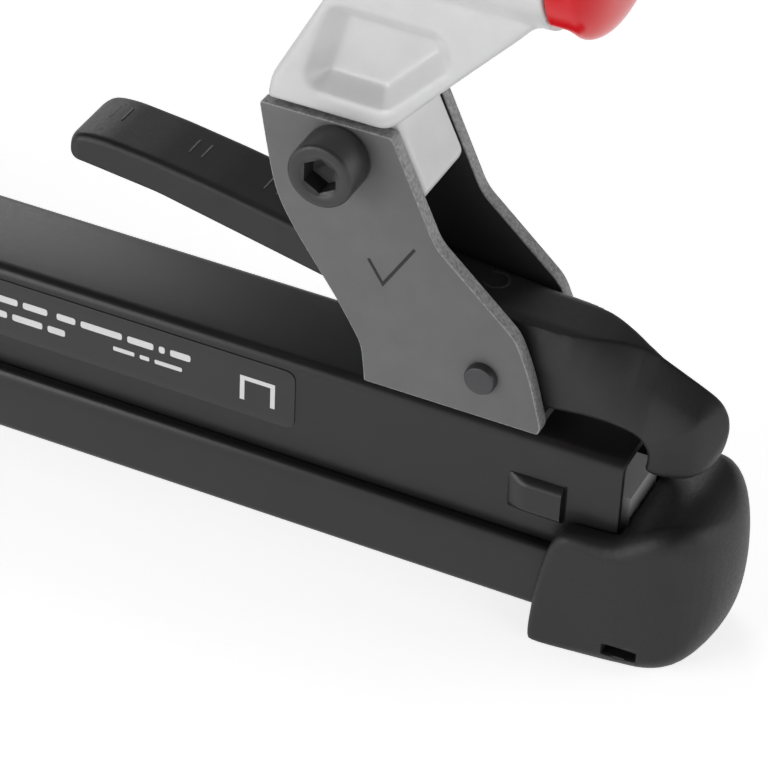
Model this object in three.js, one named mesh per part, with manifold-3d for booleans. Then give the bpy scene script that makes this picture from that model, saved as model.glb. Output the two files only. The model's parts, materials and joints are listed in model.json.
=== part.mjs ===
// Pneumatic fine wire stapler for 12.7 mm crown staples with 4 to 16 mm legs.
// Millimetres. +X runs to the rear of the tool, +Y to its right side and +Z up.
// The origin is on the floor, under the middle of the tool's length.
import * as THREE from "three";
import { mergeVertices } from "three/addons/utils/BufferGeometryUtils.js";
import Module from "manifold-3d";

const wasm = await Module();
wasm.setup();

// ---------------------------------------------------------------- driving dimensions
const GAP = 0.3; // clearance that touching pieces keep
const FRONT_X = -118; // foremost point, the front of the head
const REAR_X = 118; // rearmost point, the back of the magazine end cap

const STAPLE_HALF = 6.35; // half the outside crown width, which sets every width of the magazine
const STAPLE_LEG = 16;
const STAPLE_WIRE = 0.6;
const STRIP_LENGTH = 64;
const GUIDE_WALL = 0.9; // hardened staple guide inside the channel
const SHEET = 1.2; // sheet thickness of both channels

const PISTON_R = 12.9; // the cylinder's bore, which sets the width of the head
const PISTON_T = 10;
const STROKE = 34; // travel of the piston and driver
const SLEEVE_WALL = 2.3;
const BUMPER_T = 12;
const FLANGE_T = 15; // height of the square flange on the head
const HEAD_CORNER_R = 14; // corner radius of the flange and the cylinder cap
const CAP_FLANGE_T = 7.4; // thickness of the cylinder cap's flange
const CAP_DOME_T = 8; // height of the dome above the flange
const GASKET_T = 1;
const DEFLECTOR_T = 2.9;

const DRIVER_T = 1.2;
const NOSE_BLOCK_T = 10; // length of the driver guide block
const NOSE_PLATE_T = 2.2;
const NOSE_FLANGE_T = 5.7;

const HANDLE_R = 14.5; // radius of the round rear part of the handle
const HANDLE_HALF_W = 12.5; // half width of the oval core under the grip
const GRIP_WALL = 3.5;
const END_CAP_LENGTH = 7.6; // red cap on the handle's end

const CHANNEL_TOP_Z = 34.2; // top of the magazine's upper channel
const SLIDE_BASE_Z = 5.5; // underside of the lower channel
const PLATE_T = 2.3; // the bracket's two side plates

const PIN_X = 23.6; // lever pivot, measured from the bracket screw
const PIN_Z = -29.8;
const PIN_R = 2.4;

// ---------------------------------------------------------------- places that follow
// Widths, from the staple outwards.
const CHANNEL_HALF = STAPLE_HALF + 0.15 + GUIDE_WALL + GAP + SHEET; // upper channel
const SLIDE_HALF = CHANNEL_HALF + 2.5; // lower channel
const END_HALF = SLIDE_HALF + 1.6; // magazine end cap
const NOSE_HALF = CHANNEL_HALF + 2.1;
const BRACKET_HALF = CHANNEL_HALF + 0.1; // over the bracket's two plates
const LUG_HALF = BRACKET_HALF - PLATE_T - GAP; // the casting's lug between the plates
const LEVER_HALF = BRACKET_HALF - PLATE_T - 0.5;
const WEB_HALF = BRACKET_HALF; // the handle's rear web is flush with the plates
const DRIVER_HALF = STAPLE_HALF - 0.15;

// Radii of the head, from the piston outwards.
const SLEEVE_R = PISTON_R + GAP + SLEEVE_WALL;
const RESERVOIR_R = SLEEVE_R + 2.5; // air space round the sleeve
const HEAD_R = RESERVOIR_R + 5;
const CAP_DOME_R = PISTON_R + 3.6;
const DEFLECTOR_R = CAP_DOME_R - 3.5;

// Heights, from the magazine's upper channel.
const SLIDE_TOP_Z = CHANNEL_TOP_Z - 17.7;
const HEAD_BASE_Z = CHANNEL_TOP_Z + 11.8; // underside of the casting, where the nose bolts on
const SCREW_Z = CHANNEL_TOP_Z + 37.3; // axis of the bracket screw
const HANDLE_Z = SCREW_Z + 40.5; // height of the handle's axis
const HEAD_TOP_Z = HANDLE_Z + HANDLE_R + 3.5;
const CAP_Z = HEAD_TOP_Z + GASKET_T + 2 * GAP; // underside of the cylinder cap
const DOME_Z = CAP_Z + CAP_FLANGE_T;
const CAP_TOP_Z = DOME_Z + CAP_DOME_T;
const BORE_FLOOR_Z = HEAD_BASE_Z + 14; // floor of the cylinder bore
const PISTON_Z = BORE_FLOOR_Z + GAP + BUMPER_T + 2 + STROKE; // piston's underside at rest
const GUIDE_TOP_Z = CHANNEL_TOP_Z - SHEET - GAP;
const CROWN_Z = GUIDE_TOP_Z - GUIDE_WALL - GAP; // top of the staples' crowns
const RAIL_TOP_Z = CROWN_Z - STAPLE_WIRE - GAP;
const LEG_Z = CROWN_Z - STAPLE_LEG; // tips of the staples' legs
const SLIDE_FLOOR_Z = SLIDE_BASE_Z + SHEET;

// Places along the tool: the front ones go with the head, the rear ones with the end cap.
const HEAD_X = FRONT_X + HEAD_R; // axis of the piston and driver
const TRIGGER_PIN = [HEAD_X + HEAD_R + 4, HANDLE_Z - HANDLE_R - 7.5]; // X and Z
const VALVE_X = TRIGGER_PIN[0] + 14;
const GRIP_FRONT_X = VALVE_X + 12;
const MAGAZINE_FRONT_X = HEAD_X + DRIVER_T / 2 + 0.2 + NOSE_BLOCK_T + GAP;
const STRIP_FRONT_X = HEAD_X + DRIVER_T / 2 + GAP;
const PUSHER_X = STRIP_FRONT_X + STRIP_LENGTH + GAP;
const END_X = 62.5; // rearmost point of the end cap, behind the bracket screw
const SCREW_X = REAR_X - END_X; // axis of the bracket screw
const GRIP_REAR_X = SCREW_X - 33.5;
const HANDLE_END_X = SCREW_X + 30; // where the handle casting ends
const CHANNEL_REAR_X = SCREW_X + 45.9;
const RAIL_REAR_X = CHANNEL_REAR_X - 3.6;
const GUIDE_HALF = CHANNEL_HALF - SHEET - GAP;
const RAIL_HALF = STAPLE_HALF - STAPLE_WIRE - 0.45;

// ---------------------------------------------------------------- finishes
const finish = (color, roughness, metalness) =>
  new THREE.MeshStandardMaterial({ color, roughness, metalness });
const SILVER_PAINT = finish("#d6d7d8", 0.45, 0.3);
const BLACK_SATIN = finish("#2b2c2e", 0.42, 0.4);
const BLACK_OXIDE = finish("#55565a", 0.5, 0.7);
const BLACK_MOULDED = finish("#1f2021", 0.6, 0);
const RUBBER = finish("#232323", 0.85, 0);
const RED_GLOSS = finish("#c8141c", 0.12, 0);
const BRIGHT_STEEL = finish("#b9bbbd", 0.3, 0.95);
const SPRING_STEEL = finish("#8d9093", 0.35, 0.95);
const BRASS = finish("#b99a4e", 0.35, 0.9);
const ALUMINIUM = finish("#bfc2c4", 0.35, 0.85);
const ORANGE_RUBBER = finish("#8c4a1e", 0.7, 0);
const LABEL_BLACK = finish("#1a1a1b", 0.4, 0);

// ---------------------------------------------------------------- shape helpers
// A closed three.js geometry as a manifold solid, with its shared corners merged.
function solid(geometry) {
  const bare = geometry.clone();
  bare.deleteAttribute("normal");
  bare.deleteAttribute("uv");
  const merged = mergeVertices(bare, 1e-4);
  return new wasm.Manifold(
    new wasm.Mesh({
      numProp: 3,
      vertProperties: merged.attributes.position.array,
      triVerts: new Uint32Array(merged.index.array),
    }),
  );
}

// A manifold solid as a geometry that a mesh can show.
function geometryOf(body) {
  const { vertProperties, triVerts } = body.getMesh();
  const geometry = new THREE.BufferGeometry();
  geometry.setAttribute("position", new THREE.BufferAttribute(vertProperties, 3));
  geometry.setIndex(new THREE.BufferAttribute(triVerts, 1));
  geometry.computeVertexNormals();
  return geometry;
}

const join = (first, ...others) => others.reduce((sum, part) => sum.add(part), first);
const cut = (first, ...others) => others.reduce((rest, part) => rest.subtract(part), first);

// A shape drawn in the plane across `axis`, drawn out from one place to another along it.
// The plane's two directions are (Y, Z) for x, (X, Z) for y and (X, Y) for z.
function drawn(axis, shape, from, to) {
  const geometry = new THREE.ExtrudeGeometry(shape, {
    depth: to - from,
    bevelEnabled: false,
    curveSegments: 6,
  });
  const X = new THREE.Vector3(1, 0, 0);
  const Y = new THREE.Vector3(0, 1, 0);
  const Z = new THREE.Vector3(0, 0, 1);
  const turn = new THREE.Matrix4();
  if (axis === "x") turn.makeBasis(Y, Z, X).setPosition(from, 0, 0);
  if (axis === "y") turn.makeBasis(X, Z, Y.negate()).setPosition(0, to, 0);
  if (axis === "z") turn.setPosition(0, 0, from);
  return solid(geometry.applyMatrix4(turn));
}

const outline = (points) => new THREE.Shape(points.map(([u, v]) => new THREE.Vector2(u, v)));

// A rectangle with rounded corners, from its lowest to its highest corner.
function roundedRectangle(left, low, right, high, radius) {
  const shape = new THREE.Shape();
  shape.moveTo(left + radius, low);
  shape.absarc(right - radius, low + radius, radius, -Math.PI / 2, 0);
  shape.absarc(right - radius, high - radius, radius, 0, Math.PI / 2);
  shape.absarc(left + radius, high - radius, radius, Math.PI / 2, Math.PI);
  shape.absarc(left + radius, low + radius, radius, Math.PI, 1.5 * Math.PI);
  return shape;
}

function ellipse(u, v, radiusU, radiusV, segments = 28) {
  const shape = new THREE.Shape();
  shape.absellipse(u, v, radiusU, radiusV, 0, 2 * Math.PI);
  return new THREE.Shape(shape.getSpacedPoints(segments).slice(0, -1));
}

const block = (x0, y0, z0, x1, y1, z1) =>
  drawn("z", outline([[x0, y0], [x1, y0], [x1, y1], [x0, y1]]), z0, z1);

// A round bar along an axis, centred on (u, v) in the plane across it.
const bar = (axis, u, v, radius, from, to, segments = 24) =>
  drawn(axis, ellipse(u, v, radius, radius, segments), from, to);

// A turned ring: a closed profile of [radius, height] points spun about Z.
function turned(profile, segments = 32) {
  const points = profile.map(([r, z]) => new THREE.Vector2(r, z));
  const spun = new THREE.LatheGeometry([...points, points[0]], segments);
  return solid(spun.rotateX(Math.PI / 2));
}

// A coil spring along Z, as one round wire bent to a helix.
class Helix extends THREE.Curve {
  constructor(radius, length, turns) {
    super();
    Object.assign(this, { radius, length, turns });
  }
  getPoint(t) {
    const angle = 2 * Math.PI * this.turns * t;
    const { radius, length } = this;
    return new THREE.Vector3(radius * Math.cos(angle), radius * Math.sin(angle), length * t);
  }
}
function coil(radius, wire, length, turns) {
  return new THREE.ExtrudeGeometry(ellipse(0, 0, wire / 2, wire / 2, 5), {
    steps: Math.round(turns * 8),
    extrudePath: new Helix(radius, length - wire, turns),
  }).translate(0, 0, wire / 2);
}

function part(name, shape, material, group, position = [0, 0, 0], rotation = [0, 0, 0]) {
  const geometry = shape.isBufferGeometry ? shape : geometryOf(shape);
  const mesh = new THREE.Mesh(geometry, material);
  mesh.name = name;
  mesh.position.set(...position);
  mesh.rotation.set(...rotation);
  group.add(mesh);
  return mesh;
}

// A socket head cap screw along Z: its head stands above z = 0 and its shank runs down.
function capScrew(shankR, headR, headT, length) {
  const hexR = headR * 0.58;
  const body = join(
    bar("z", 0, 0, headR, 0, headT, 20),
    bar("z", 0, 0, shankR, -length, 0.01, 16),
  );
  return cut(body, bar("z", 0, 0, hexR, headT * 0.45, headT + 1, 6));
}

const tool = new THREE.Group();
const head = new THREE.Group(); // on the piston's axis, at floor level
head.position.set(HEAD_X, 0, 0);
const bracket = new THREE.Group(); // on the bracket screw's axis
bracket.position.set(SCREW_X, 0, SCREW_Z);
tool.add(head, bracket);

// ---------------------------------------------------------------- body casting
// One aluminium casting: head with the cylinder bore, handle with the air reservoir,
// trigger ears, and the rear web that ends in the lug between the bracket plates.
const CAP_SCREW_AT = HEAD_R - 7.5; // cap screws, from the head's axis both ways
const CAP_SCREW_R = 2.5;
const NOSE_SCREW_DX = [-10, 14.9]; // nose screws, ahead of and behind the driver
const NOSE_SCREW_DY = NOSE_HALF - 2.5;
const NOSE_SCREW_R = 2;
const TRIGGER_HALF = 5.4;
const TRIGGER_PIN_R = 1.5;
const EAR_T = 2.8;
const VALVE_R = 6;
const HANDLE_BORE_R = HANDLE_R - 5.5; // air reservoir in the handle

// The head and the nose meet on the same four-cornered foot, drawn from the driver's axis.
const noseFoot = () => roundedRectangle(-15, -NOSE_HALF - 2, 19, NOSE_HALF + 2, 4);

function headBlank() {
  const flange = roundedRectangle(-HEAD_R, -HEAD_R, HEAD_R, HEAD_R, HEAD_CORNER_R);
  const barrelR = HEAD_R - 1;
  const coneZ = HEAD_BASE_Z + 10; // the barrel widens in a short cone above the foot
  const topZ = HEAD_TOP_Z - 12;
  return join(
    drawn("z", flange, HEAD_TOP_Z - FLANGE_T, HEAD_TOP_Z),
    turned([[0, coneZ], [barrelR - 7, coneZ], [barrelR, coneZ + 10], [barrelR, topZ], [0, topZ]], 36),
    drawn("z", noseFoot(), HEAD_BASE_Z, HEAD_BASE_Z + 16),
  ).translate([HEAD_X, 0, 0]);
}

function headBores() {
  const reservoirZ = HEAD_BASE_Z + 38; // the sleeve seats in the bore below this height
  const slotHalf = STAPLE_HALF + 0.6;
  const cutters = [
    bar("z", 0, 0, RESERVOIR_R, reservoirZ, HEAD_TOP_Z + 1, 32),
    bar("z", 0, 0, SLEEVE_R + GAP, BORE_FLOOR_Z, reservoirZ + 1, 32),
    block(-DRIVER_T, -slotHalf, HEAD_BASE_Z - 1, DRIVER_T, slotHalf, BORE_FLOOR_Z + 1),
  ];
  const screwHole = (dx, dy, r, from, to) => cutters.push(bar("z", dx, dy, r + GAP, from, to, 16));
  for (const sy of [-1, 1]) {
    const capY = sy * CAP_SCREW_AT;
    const noseY = sy * NOSE_SCREW_DY;
    for (const sx of [-1, 1])
      screwHole(sx * CAP_SCREW_AT, capY, CAP_SCREW_R, HEAD_TOP_Z - 14, HEAD_TOP_Z + 1);
    for (const dx of NOSE_SCREW_DX)
      screwHole(dx, noseY, NOSE_SCREW_R, HEAD_BASE_Z - 1, HEAD_BASE_Z + 9);
  }
  return cutters.map((cutter) => cutter.translate([HEAD_X, 0, 0]));
}

// The web's side outline, from the bracket screw, up to inside the handle.
const WEB_OUTLINE = [
  [-11.1, 6.1], [6.4, 6.1], [8.6, 7.6], [14.6, 14.2], [25.6, 26], [28.6, 29.6], [29.6, 40],
  [6, 40], [-1, 30], [-3.4, 24], [-10.6, 9.6],
];
// The lug's side outline: flush with the plates' rear edge, rounded under the screw.
const SCREW_SHANK_R = 3; // the bracket screw, M6
const LUG_OUTLINE = [
  [-9.4, 8], [7, 8], [8.1, 4.9], [12.4, -3.9], [11.6, -5.6], [8.6, -7.6], [3.4, -9.1],
  [-2.2, -8.8], [-6.6, -6], [-9, -1.5],
];
// The shallow pocket cast into each side of the web.
const POCKET_OUTLINE = [
  [-6.2, 10.6], [4.6, 10.6], [13.4, 19.4], [13.6, 22.4], [11.4, 24.2], [0.6, 24.2],
];
const POCKET_DEPTH = 2.2;

function handleBlank() {
  const round = ellipse(0, HANDLE_Z, HANDLE_R, HANDLE_R, 32);
  const oval = ellipse(0, HANDLE_Z, HANDLE_HALF_W, HANDLE_R, 32);
  const rear = bar("x", 0, HANDLE_Z, HANDLE_R, GRIP_REAR_X + 1, HANDLE_END_X, 32);
  const neck = drawn("x", round, HEAD_X + RESERVOIR_R, GRIP_FRONT_X - 1);
  const core = drawn("x", oval, GRIP_FRONT_X - 2, GRIP_REAR_X + 2);
  const web = drawn("y", outline(WEB_OUTLINE), -WEB_HALF, WEB_HALF);
  const lug = drawn("y", outline(LUG_OUTLINE), -LUG_HALF, LUG_HALF);
  const side = drawn("y", outline(POCKET_OUTLINE), -POCKET_DEPTH, POCKET_DEPTH);
  const rib = cut(
    join(web, lug),
    bar("y", 0, 0, SCREW_SHANK_R + GAP, -10, 10),
    side.translate([0, -WEB_HALF, 0]),
    side.translate([0, WEB_HALF, 0]),
  ).translate([SCREW_X, 0, SCREW_Z]);
  return join(neck, core, rear, rib);
}

function triggerEars() {
  const [x, z] = TRIGGER_PIN;
  const ear = outline([
    [x - 9, HANDLE_Z - 8], [x - 6, z - 4], [x, z - 5.5], [x + 5, z - 3], [x + 9, HANDLE_Z - 8],
  ]);
  const inner = TRIGGER_HALF + GAP;
  return join(
    drawn("y", ear, inner, inner + EAR_T),
    drawn("y", ear, -inner - EAR_T, -inner),
  );
}

const trapR = HANDLE_R - 2.6; // counterbore that takes the end cap's spigot
const bodyCasting = cut(
  join(headBlank(), handleBlank(), triggerEars()),
  ...headBores(),
  bar("x", 0, HANDLE_Z, HANDLE_BORE_R, HEAD_X + RESERVOIR_R - 2, HANDLE_END_X + 1, 28),
  bar("x", 0, HANDLE_Z, trapR, HANDLE_END_X - 8, HANDLE_END_X + 1, 28),
  bar("z", VALVE_X, 0, VALVE_R + GAP, HANDLE_Z - 16, HANDLE_Z, 24),
  bar("y", ...TRIGGER_PIN, TRIGGER_PIN_R + GAP, -12, 12, 16),
);
part("body_casting", bodyCasting, SILVER_PAINT, tool);

// ---------------------------------------------------------------- cylinder and head valve
function cylinderPieces() {
  const flange = roundedRectangle(-HEAD_R, -HEAD_R, HEAD_R, HEAD_R, HEAD_CORNER_R);
  const corners = [[1, 1], [-1, 1], [-1, -1], [1, -1]];
  const screwHoles = (from, to) =>
    corners.map(([sx, sy]) =>
      bar("z", sx * CAP_SCREW_AT, sy * CAP_SCREW_AT, CAP_SCREW_R + GAP, from, to, 16),
    );

  const gasket = cut(
    drawn("z", flange, 0, GASKET_T),
    bar("z", 0, 0, RESERVOIR_R - 0.6, -1, 3, 32),
    ...screwHoles(-1, 3),
  );
  part("cylinder_gasket", gasket, RUBBER, head, [0, 0, HEAD_TOP_Z + GAP]);

  const valveR = CAP_DOME_R - 2.3; // head valve, sliding in the cap's bore
  const roof = CAP_FLANGE_T + CAP_DOME_T - 4;
  const exhausts = [0, 1, 2, 3].map((i) => {
    const angle = (i * Math.PI) / 2;
    return bar("z", 8 * Math.cos(angle), 8 * Math.sin(angle), 2, roof - 1, roof + 9, 12);
  });
  const cap = cut(
    join(
      drawn("z", flange, 0, CAP_FLANGE_T),
      turned([
        [0, CAP_FLANGE_T - 0.1], [CAP_DOME_R, CAP_FLANGE_T - 0.1],
        [CAP_DOME_R, CAP_FLANGE_T + 5.6], [CAP_DOME_R - 1.6, CAP_FLANGE_T + 7.4],
        [CAP_DOME_R - 3.4, CAP_FLANGE_T + CAP_DOME_T], [0, CAP_FLANGE_T + CAP_DOME_T],
      ]),
    ),
    bar("z", 0, 0, valveR + GAP, -1, roof, 32),
    bar("z", 0, 0, 2.5 + GAP, roof - 1, roof + 9, 16),
    ...exhausts,
    ...screwHoles(-1, 20),
  );
  part("cylinder_cap", cap, SILVER_PAINT, head, [0, 0, CAP_Z]);

  corners.forEach(([sx, sy], i) => {
    const place = [sx * CAP_SCREW_AT, sy * CAP_SCREW_AT, DOME_Z + GAP];
    part(`cap_screw_${i + 1}`, capScrew(CAP_SCREW_R, 4.2, 5, 22), BLACK_OXIDE, head, place);
  });

  // The deflector is a low round cover, open to one side, that turns to aim the exhaust.
  const mouth = block(-DEFLECTOR_R - 1, -5, -1, -3.4, 5, 1.7);
  const deflector = cut(
    turned([
      [0, 0], [DEFLECTOR_R, 0], [DEFLECTOR_R, 1.6], [DEFLECTOR_R - 1.3, DEFLECTOR_T],
      [0, DEFLECTOR_T],
    ]),
    turned([[3.4, -1], [DEFLECTOR_R - 1.6, -1], [DEFLECTOR_R - 1.6, 1.7], [3.4, 1.7]]),
    mouth,
    bar("z", 0, 0, 2.5 + GAP, -1, 5, 16),
  );
  part("exhaust_deflector", deflector, BLACK_SATIN, head, [0, 0, CAP_TOP_Z + GAP]);
  const screwZ = CAP_TOP_Z + 2 * GAP + DEFLECTOR_T;
  part("deflector_screw", capScrew(2.5, 4.4, 2.6, 8), BLACK_OXIDE, head, [0, 0, screwZ]);

  const sleeve = turned([
    [PISTON_R + GAP, 0], [SLEEVE_R, 0], [SLEEVE_R, HEAD_TOP_Z - BORE_FLOOR_Z - 2 * GAP],
    [PISTON_R + GAP, HEAD_TOP_Z - BORE_FLOOR_Z - 2 * GAP],
  ]);
  part("cylinder_sleeve", sleeve, ALUMINIUM, head, [0, 0, BORE_FLOOR_Z + GAP]);

  const valveZ = HEAD_TOP_Z; // closed on the top of the sleeve
  const headValve = turned([
    [0, 0], [valveR, 0], [valveR, 5.4], [valveR - 1.6, 5.4], [valveR - 1.6, 2], [0, 2],
  ]);
  part("head_valve", headValve, BLACK_MOULDED, head, [0, 0, valveZ]);
  const springSpace = CAP_Z + roof - valveZ - 2 - 2 * GAP;
  const valveSpring = coil(6, 0.9, springSpace, 3.5);
  part("head_valve_spring", valveSpring, SPRING_STEEL, head, [0, 0, valveZ + 2 + GAP]);
}
cylinderPieces();

// ---------------------------------------------------------------- piston and driver
function drivePieces() {
  const groove = 1.9; // width and depth of the O-ring groove
  const slotTop = 5;
  const pinR = 1.25;
  const pinZ = 2.6; // the pin that holds the driver, above the piston's underside
  const half = DRIVER_T / 2;
  const piston = cut(
    turned([
      [0, 0], [PISTON_R, 0], [PISTON_R, 4], [PISTON_R - groove, 4], [PISTON_R - groove, 4 + groove],
      [PISTON_R, 4 + groove], [PISTON_R, PISTON_T], [PISTON_R - 3, PISTON_T],
      [PISTON_R - 4, PISTON_T - 2], [0, PISTON_T - 2],
    ]),
    block(-half - GAP, -DRIVER_HALF - GAP, -1, half + GAP, DRIVER_HALF + GAP, slotTop + GAP),
    bar("x", 0, pinZ, pinR + GAP, -5.2, 5.2, 12),
  );
  part("piston", piston, ALUMINIUM, head, [0, 0, PISTON_Z]);

  const ringR = groove / 2 - 0.1;
  const ring = new THREE.TorusGeometry(PISTON_R - groove / 2 + 0.05, ringR, 6, 32);
  part("piston_o_ring", ring, RUBBER, head, [0, 0, PISTON_Z + 4 + groove / 2]);

  const tipZ = CHANNEL_TOP_Z + 1.2;
  const driver = cut(
    block(-half, -DRIVER_HALF, tipZ, half, DRIVER_HALF, PISTON_Z + slotTop),
    bar("x", 0, PISTON_Z + pinZ, pinR + GAP, -5, 5, 12),
  );
  part("driver_blade", driver, BRIGHT_STEEL, head);
  const pinAt = [0, 0, PISTON_Z + pinZ];
  part("driver_pin", bar("x", 0, 0, pinR, -4.9, 4.9, 12), BRIGHT_STEEL, head, pinAt);

  const bumperR = PISTON_R - 0.2;
  const bumper = cut(
    turned([[0, 0], [bumperR, 0], [bumperR - 1, BUMPER_T], [0, BUMPER_T]]),
    block(-half - 0.8, -DRIVER_HALF - 0.8, -1, half + 0.8, DRIVER_HALF + 0.8, BUMPER_T + 1),
  );
  part("bumper", bumper, ORANGE_RUBBER, head, [0, 0, BORE_FLOOR_Z + GAP]);
}
drivePieces();

// ---------------------------------------------------------------- nose
const CHEEK_LENGTH = 12; // side cheeks that hold the channel's front end
const CHEEK_SCREW_R = 1.8;
const CHEEK_SCREW_X = 7; // from the nose block's rear face
const CHEEK_SCREW_Z = CHANNEL_TOP_Z - 9.2;
function nosePieces() {
  const front = DRIVER_T / 2 + 0.2; // front face of the block, behind the driver
  const rear = front + NOSE_BLOCK_T;
  const flangeTop = HEAD_BASE_Z - GAP;
  const flangeBase = flangeTop - NOSE_FLANGE_T;
  const lip = STAPLE_HALF + 0.35; // the driver runs between two lips
  const windowHalf = GUIDE_HALF + GAP;
  const plateRear = -DRIVER_T / 2 - 0.2;
  const plateZs = [6, flangeBase - 3.4];
  const plateScrewY = NOSE_HALF - 2.8;
  const screwR = 1.6;

  const cheek = block(rear - 1, CHANNEL_HALF + GAP, SLIDE_TOP_Z + 1.5,
    rear + CHEEK_LENGTH, NOSE_HALF, CHANNEL_TOP_Z);
  const holes = [];
  for (const z of plateZs)
    for (const sy of [-1, 1])
      holes.push(bar("x", sy * plateScrewY, z, screwR + GAP, -12, rear - 2.5, 12));
  for (const dx of NOSE_SCREW_DX)
    for (const sy of [-1, 1])
      holes.push(bar("z", dx, sy * NOSE_SCREW_DY, NOSE_SCREW_R + GAP, 30, 60, 16));
  for (const sy of [-1, 1])
    holes.push(
      bar("y", rear + CHEEK_SCREW_X, CHEEK_SCREW_Z, CHEEK_SCREW_R + GAP, -2, 2, 12)
        .translate([0, sy * (NOSE_HALF - 1), 0]),
    );

  const blank = join(
    block(front, -NOSE_HALF, 0, rear, NOSE_HALF, flangeTop),
    drawn("z", noseFoot(), flangeBase, flangeTop),
    block(plateRear + GAP, lip, 0, front + 1, NOSE_HALF, flangeBase + 1),
    block(plateRear + GAP, -NOSE_HALF, 0, front + 1, -lip, flangeBase + 1),
    cheek,
    cheek.mirror([0, 1, 0]),
  );
  const noseBody = cut(
    blank,
    block(plateRear - 0.1, -lip, flangeBase - 1, front, lip, flangeTop + 1),
    block(front - 1, -windowHalf, LEG_Z - 0.8, rear + 1, windowHalf, GUIDE_TOP_Z + GAP),
    ...holes,
  );
  part("nose_body", noseBody, BLACK_OXIDE, head);

  const plate = cut(
    drawn("x", roundedRectangle(-NOSE_HALF, 0, NOSE_HALF, flangeBase - GAP, 1.5),
      plateRear - NOSE_PLATE_T, plateRear),
    ...holes,
  );
  part("nose_plate", plate, BLACK_OXIDE, head);

  let count = 0;
  for (const z of plateZs)
    for (const sy of [-1, 1]) {
      count += 1;
      const place = [plateRear - NOSE_PLATE_T - GAP, sy * plateScrewY, z];
      const screw = capScrew(screwR, 2.7, 3, 10);
      part(`nose_plate_screw_${count}`, screw, BLACK_OXIDE, head, place, [0, -Math.PI / 2, 0]);
    }
  count = 0;
  for (const dx of NOSE_SCREW_DX)
    for (const sy of [-1, 1]) {
      count += 1;
      const place = [dx, sy * NOSE_SCREW_DY, flangeBase - GAP];
      const screw = capScrew(NOSE_SCREW_R, 3.5, 3.6, 13.5);
      part(`nose_screw_${count}`, screw, BLACK_OXIDE, head, place, [Math.PI, 0, 0]);
    }
  for (const [name, sy] of [["left", -1], ["right", 1]]) {
    const place = [rear + CHEEK_SCREW_X, sy * (NOSE_HALF + GAP), CHEEK_SCREW_Z];
    const screw = capScrew(CHEEK_SCREW_R, 3.2, 1.9, 3);
    const turn = [(-sy * Math.PI) / 2, 0, 0];
    part(`channel_screw_${name}`, screw, BLACK_OXIDE, head, place, turn);
  }
}
nosePieces();

// ---------------------------------------------------------------- trigger and valve
function triggerPieces() {
  const [x, z] = TRIGGER_PIN;
  const bladeTop = 1.4; // the blade's top stays clear of the valve when the trigger is pulled
  const shape = new THREE.Shape();
  shape.moveTo(x - 4, z + 3.4);
  shape.lineTo(x + 4.6, z + 3.4);
  shape.lineTo(x + 6, z + bladeTop);
  shape.lineTo(x + 22, z + bladeTop);
  shape.quadraticCurveTo(x + 25, z + 0.2, x + 22, z - 1);
  shape.quadraticCurveTo(x + 12, z - 3, x + 10, z - 12);
  shape.quadraticCurveTo(x + 9, z - 19, x + 5, z - 22);
  shape.quadraticCurveTo(x + 1.5, z - 22.5, x + 2, z - 19);
  shape.quadraticCurveTo(x + 3, z - 10, x - 3, z - 4);
  shape.quadraticCurveTo(x - 5.5, z, x - 4, z + 3.4);
  const trigger = cut(
    drawn("y", shape, -TRIGGER_HALF, TRIGGER_HALF),
    bar("y", x, z, TRIGGER_PIN_R + GAP, -8, 8, 16),
  );
  part("trigger", trigger, BLACK_MOULDED, tool);
  const pinHalf = TRIGGER_HALF + GAP + EAR_T + 0.6;
  const pin = bar("y", 0, 0, TRIGGER_PIN_R, -pinHalf, pinHalf, 16);
  part("trigger_pin", pin, BRIGHT_STEEL, tool, [x, 0, z]);

  const seatZ = HANDLE_Z - HANDLE_R - 1;
  const stemR = 1.8;
  const springR = 4.6; // recess for the spring, open towards the trigger
  const springTop = 8.4;
  const bodyT = 13;
  const valveBody = turned([
    [springR, 0], [VALVE_R + 1.2, 0], [VALVE_R + 1.2, 1.6], [VALVE_R, 1.6],
    [VALVE_R, bodyT], [stemR + GAP, bodyT], [stemR + GAP, springTop], [springR, springTop],
  ], 24);
  const valveZ = seatZ - 1.9;
  part("trigger_valve_body", valveBody, BRASS, tool, [VALVE_X, 0, valveZ]);
  const stemZ = z + bladeTop + GAP;
  const stemTop = valveZ + bodyT + GAP + 2.2;
  const stem = turned([
    [0, stemZ], [stemR, stemZ], [stemR, stemTop - 2.2], [4, stemTop - 2.2], [4, stemTop],
    [0, stemTop],
  ], 20);
  part("trigger_valve_stem", stem, BRIGHT_STEEL, tool, [VALVE_X, 0, 0]);
  const valveSpring = coil(3.2, 0.6, valveZ + springTop - GAP - stemZ, 5);
  part("trigger_valve_spring", valveSpring, SPRING_STEEL, tool, [VALVE_X, 0, stemZ]);
}
triggerPieces();

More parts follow.
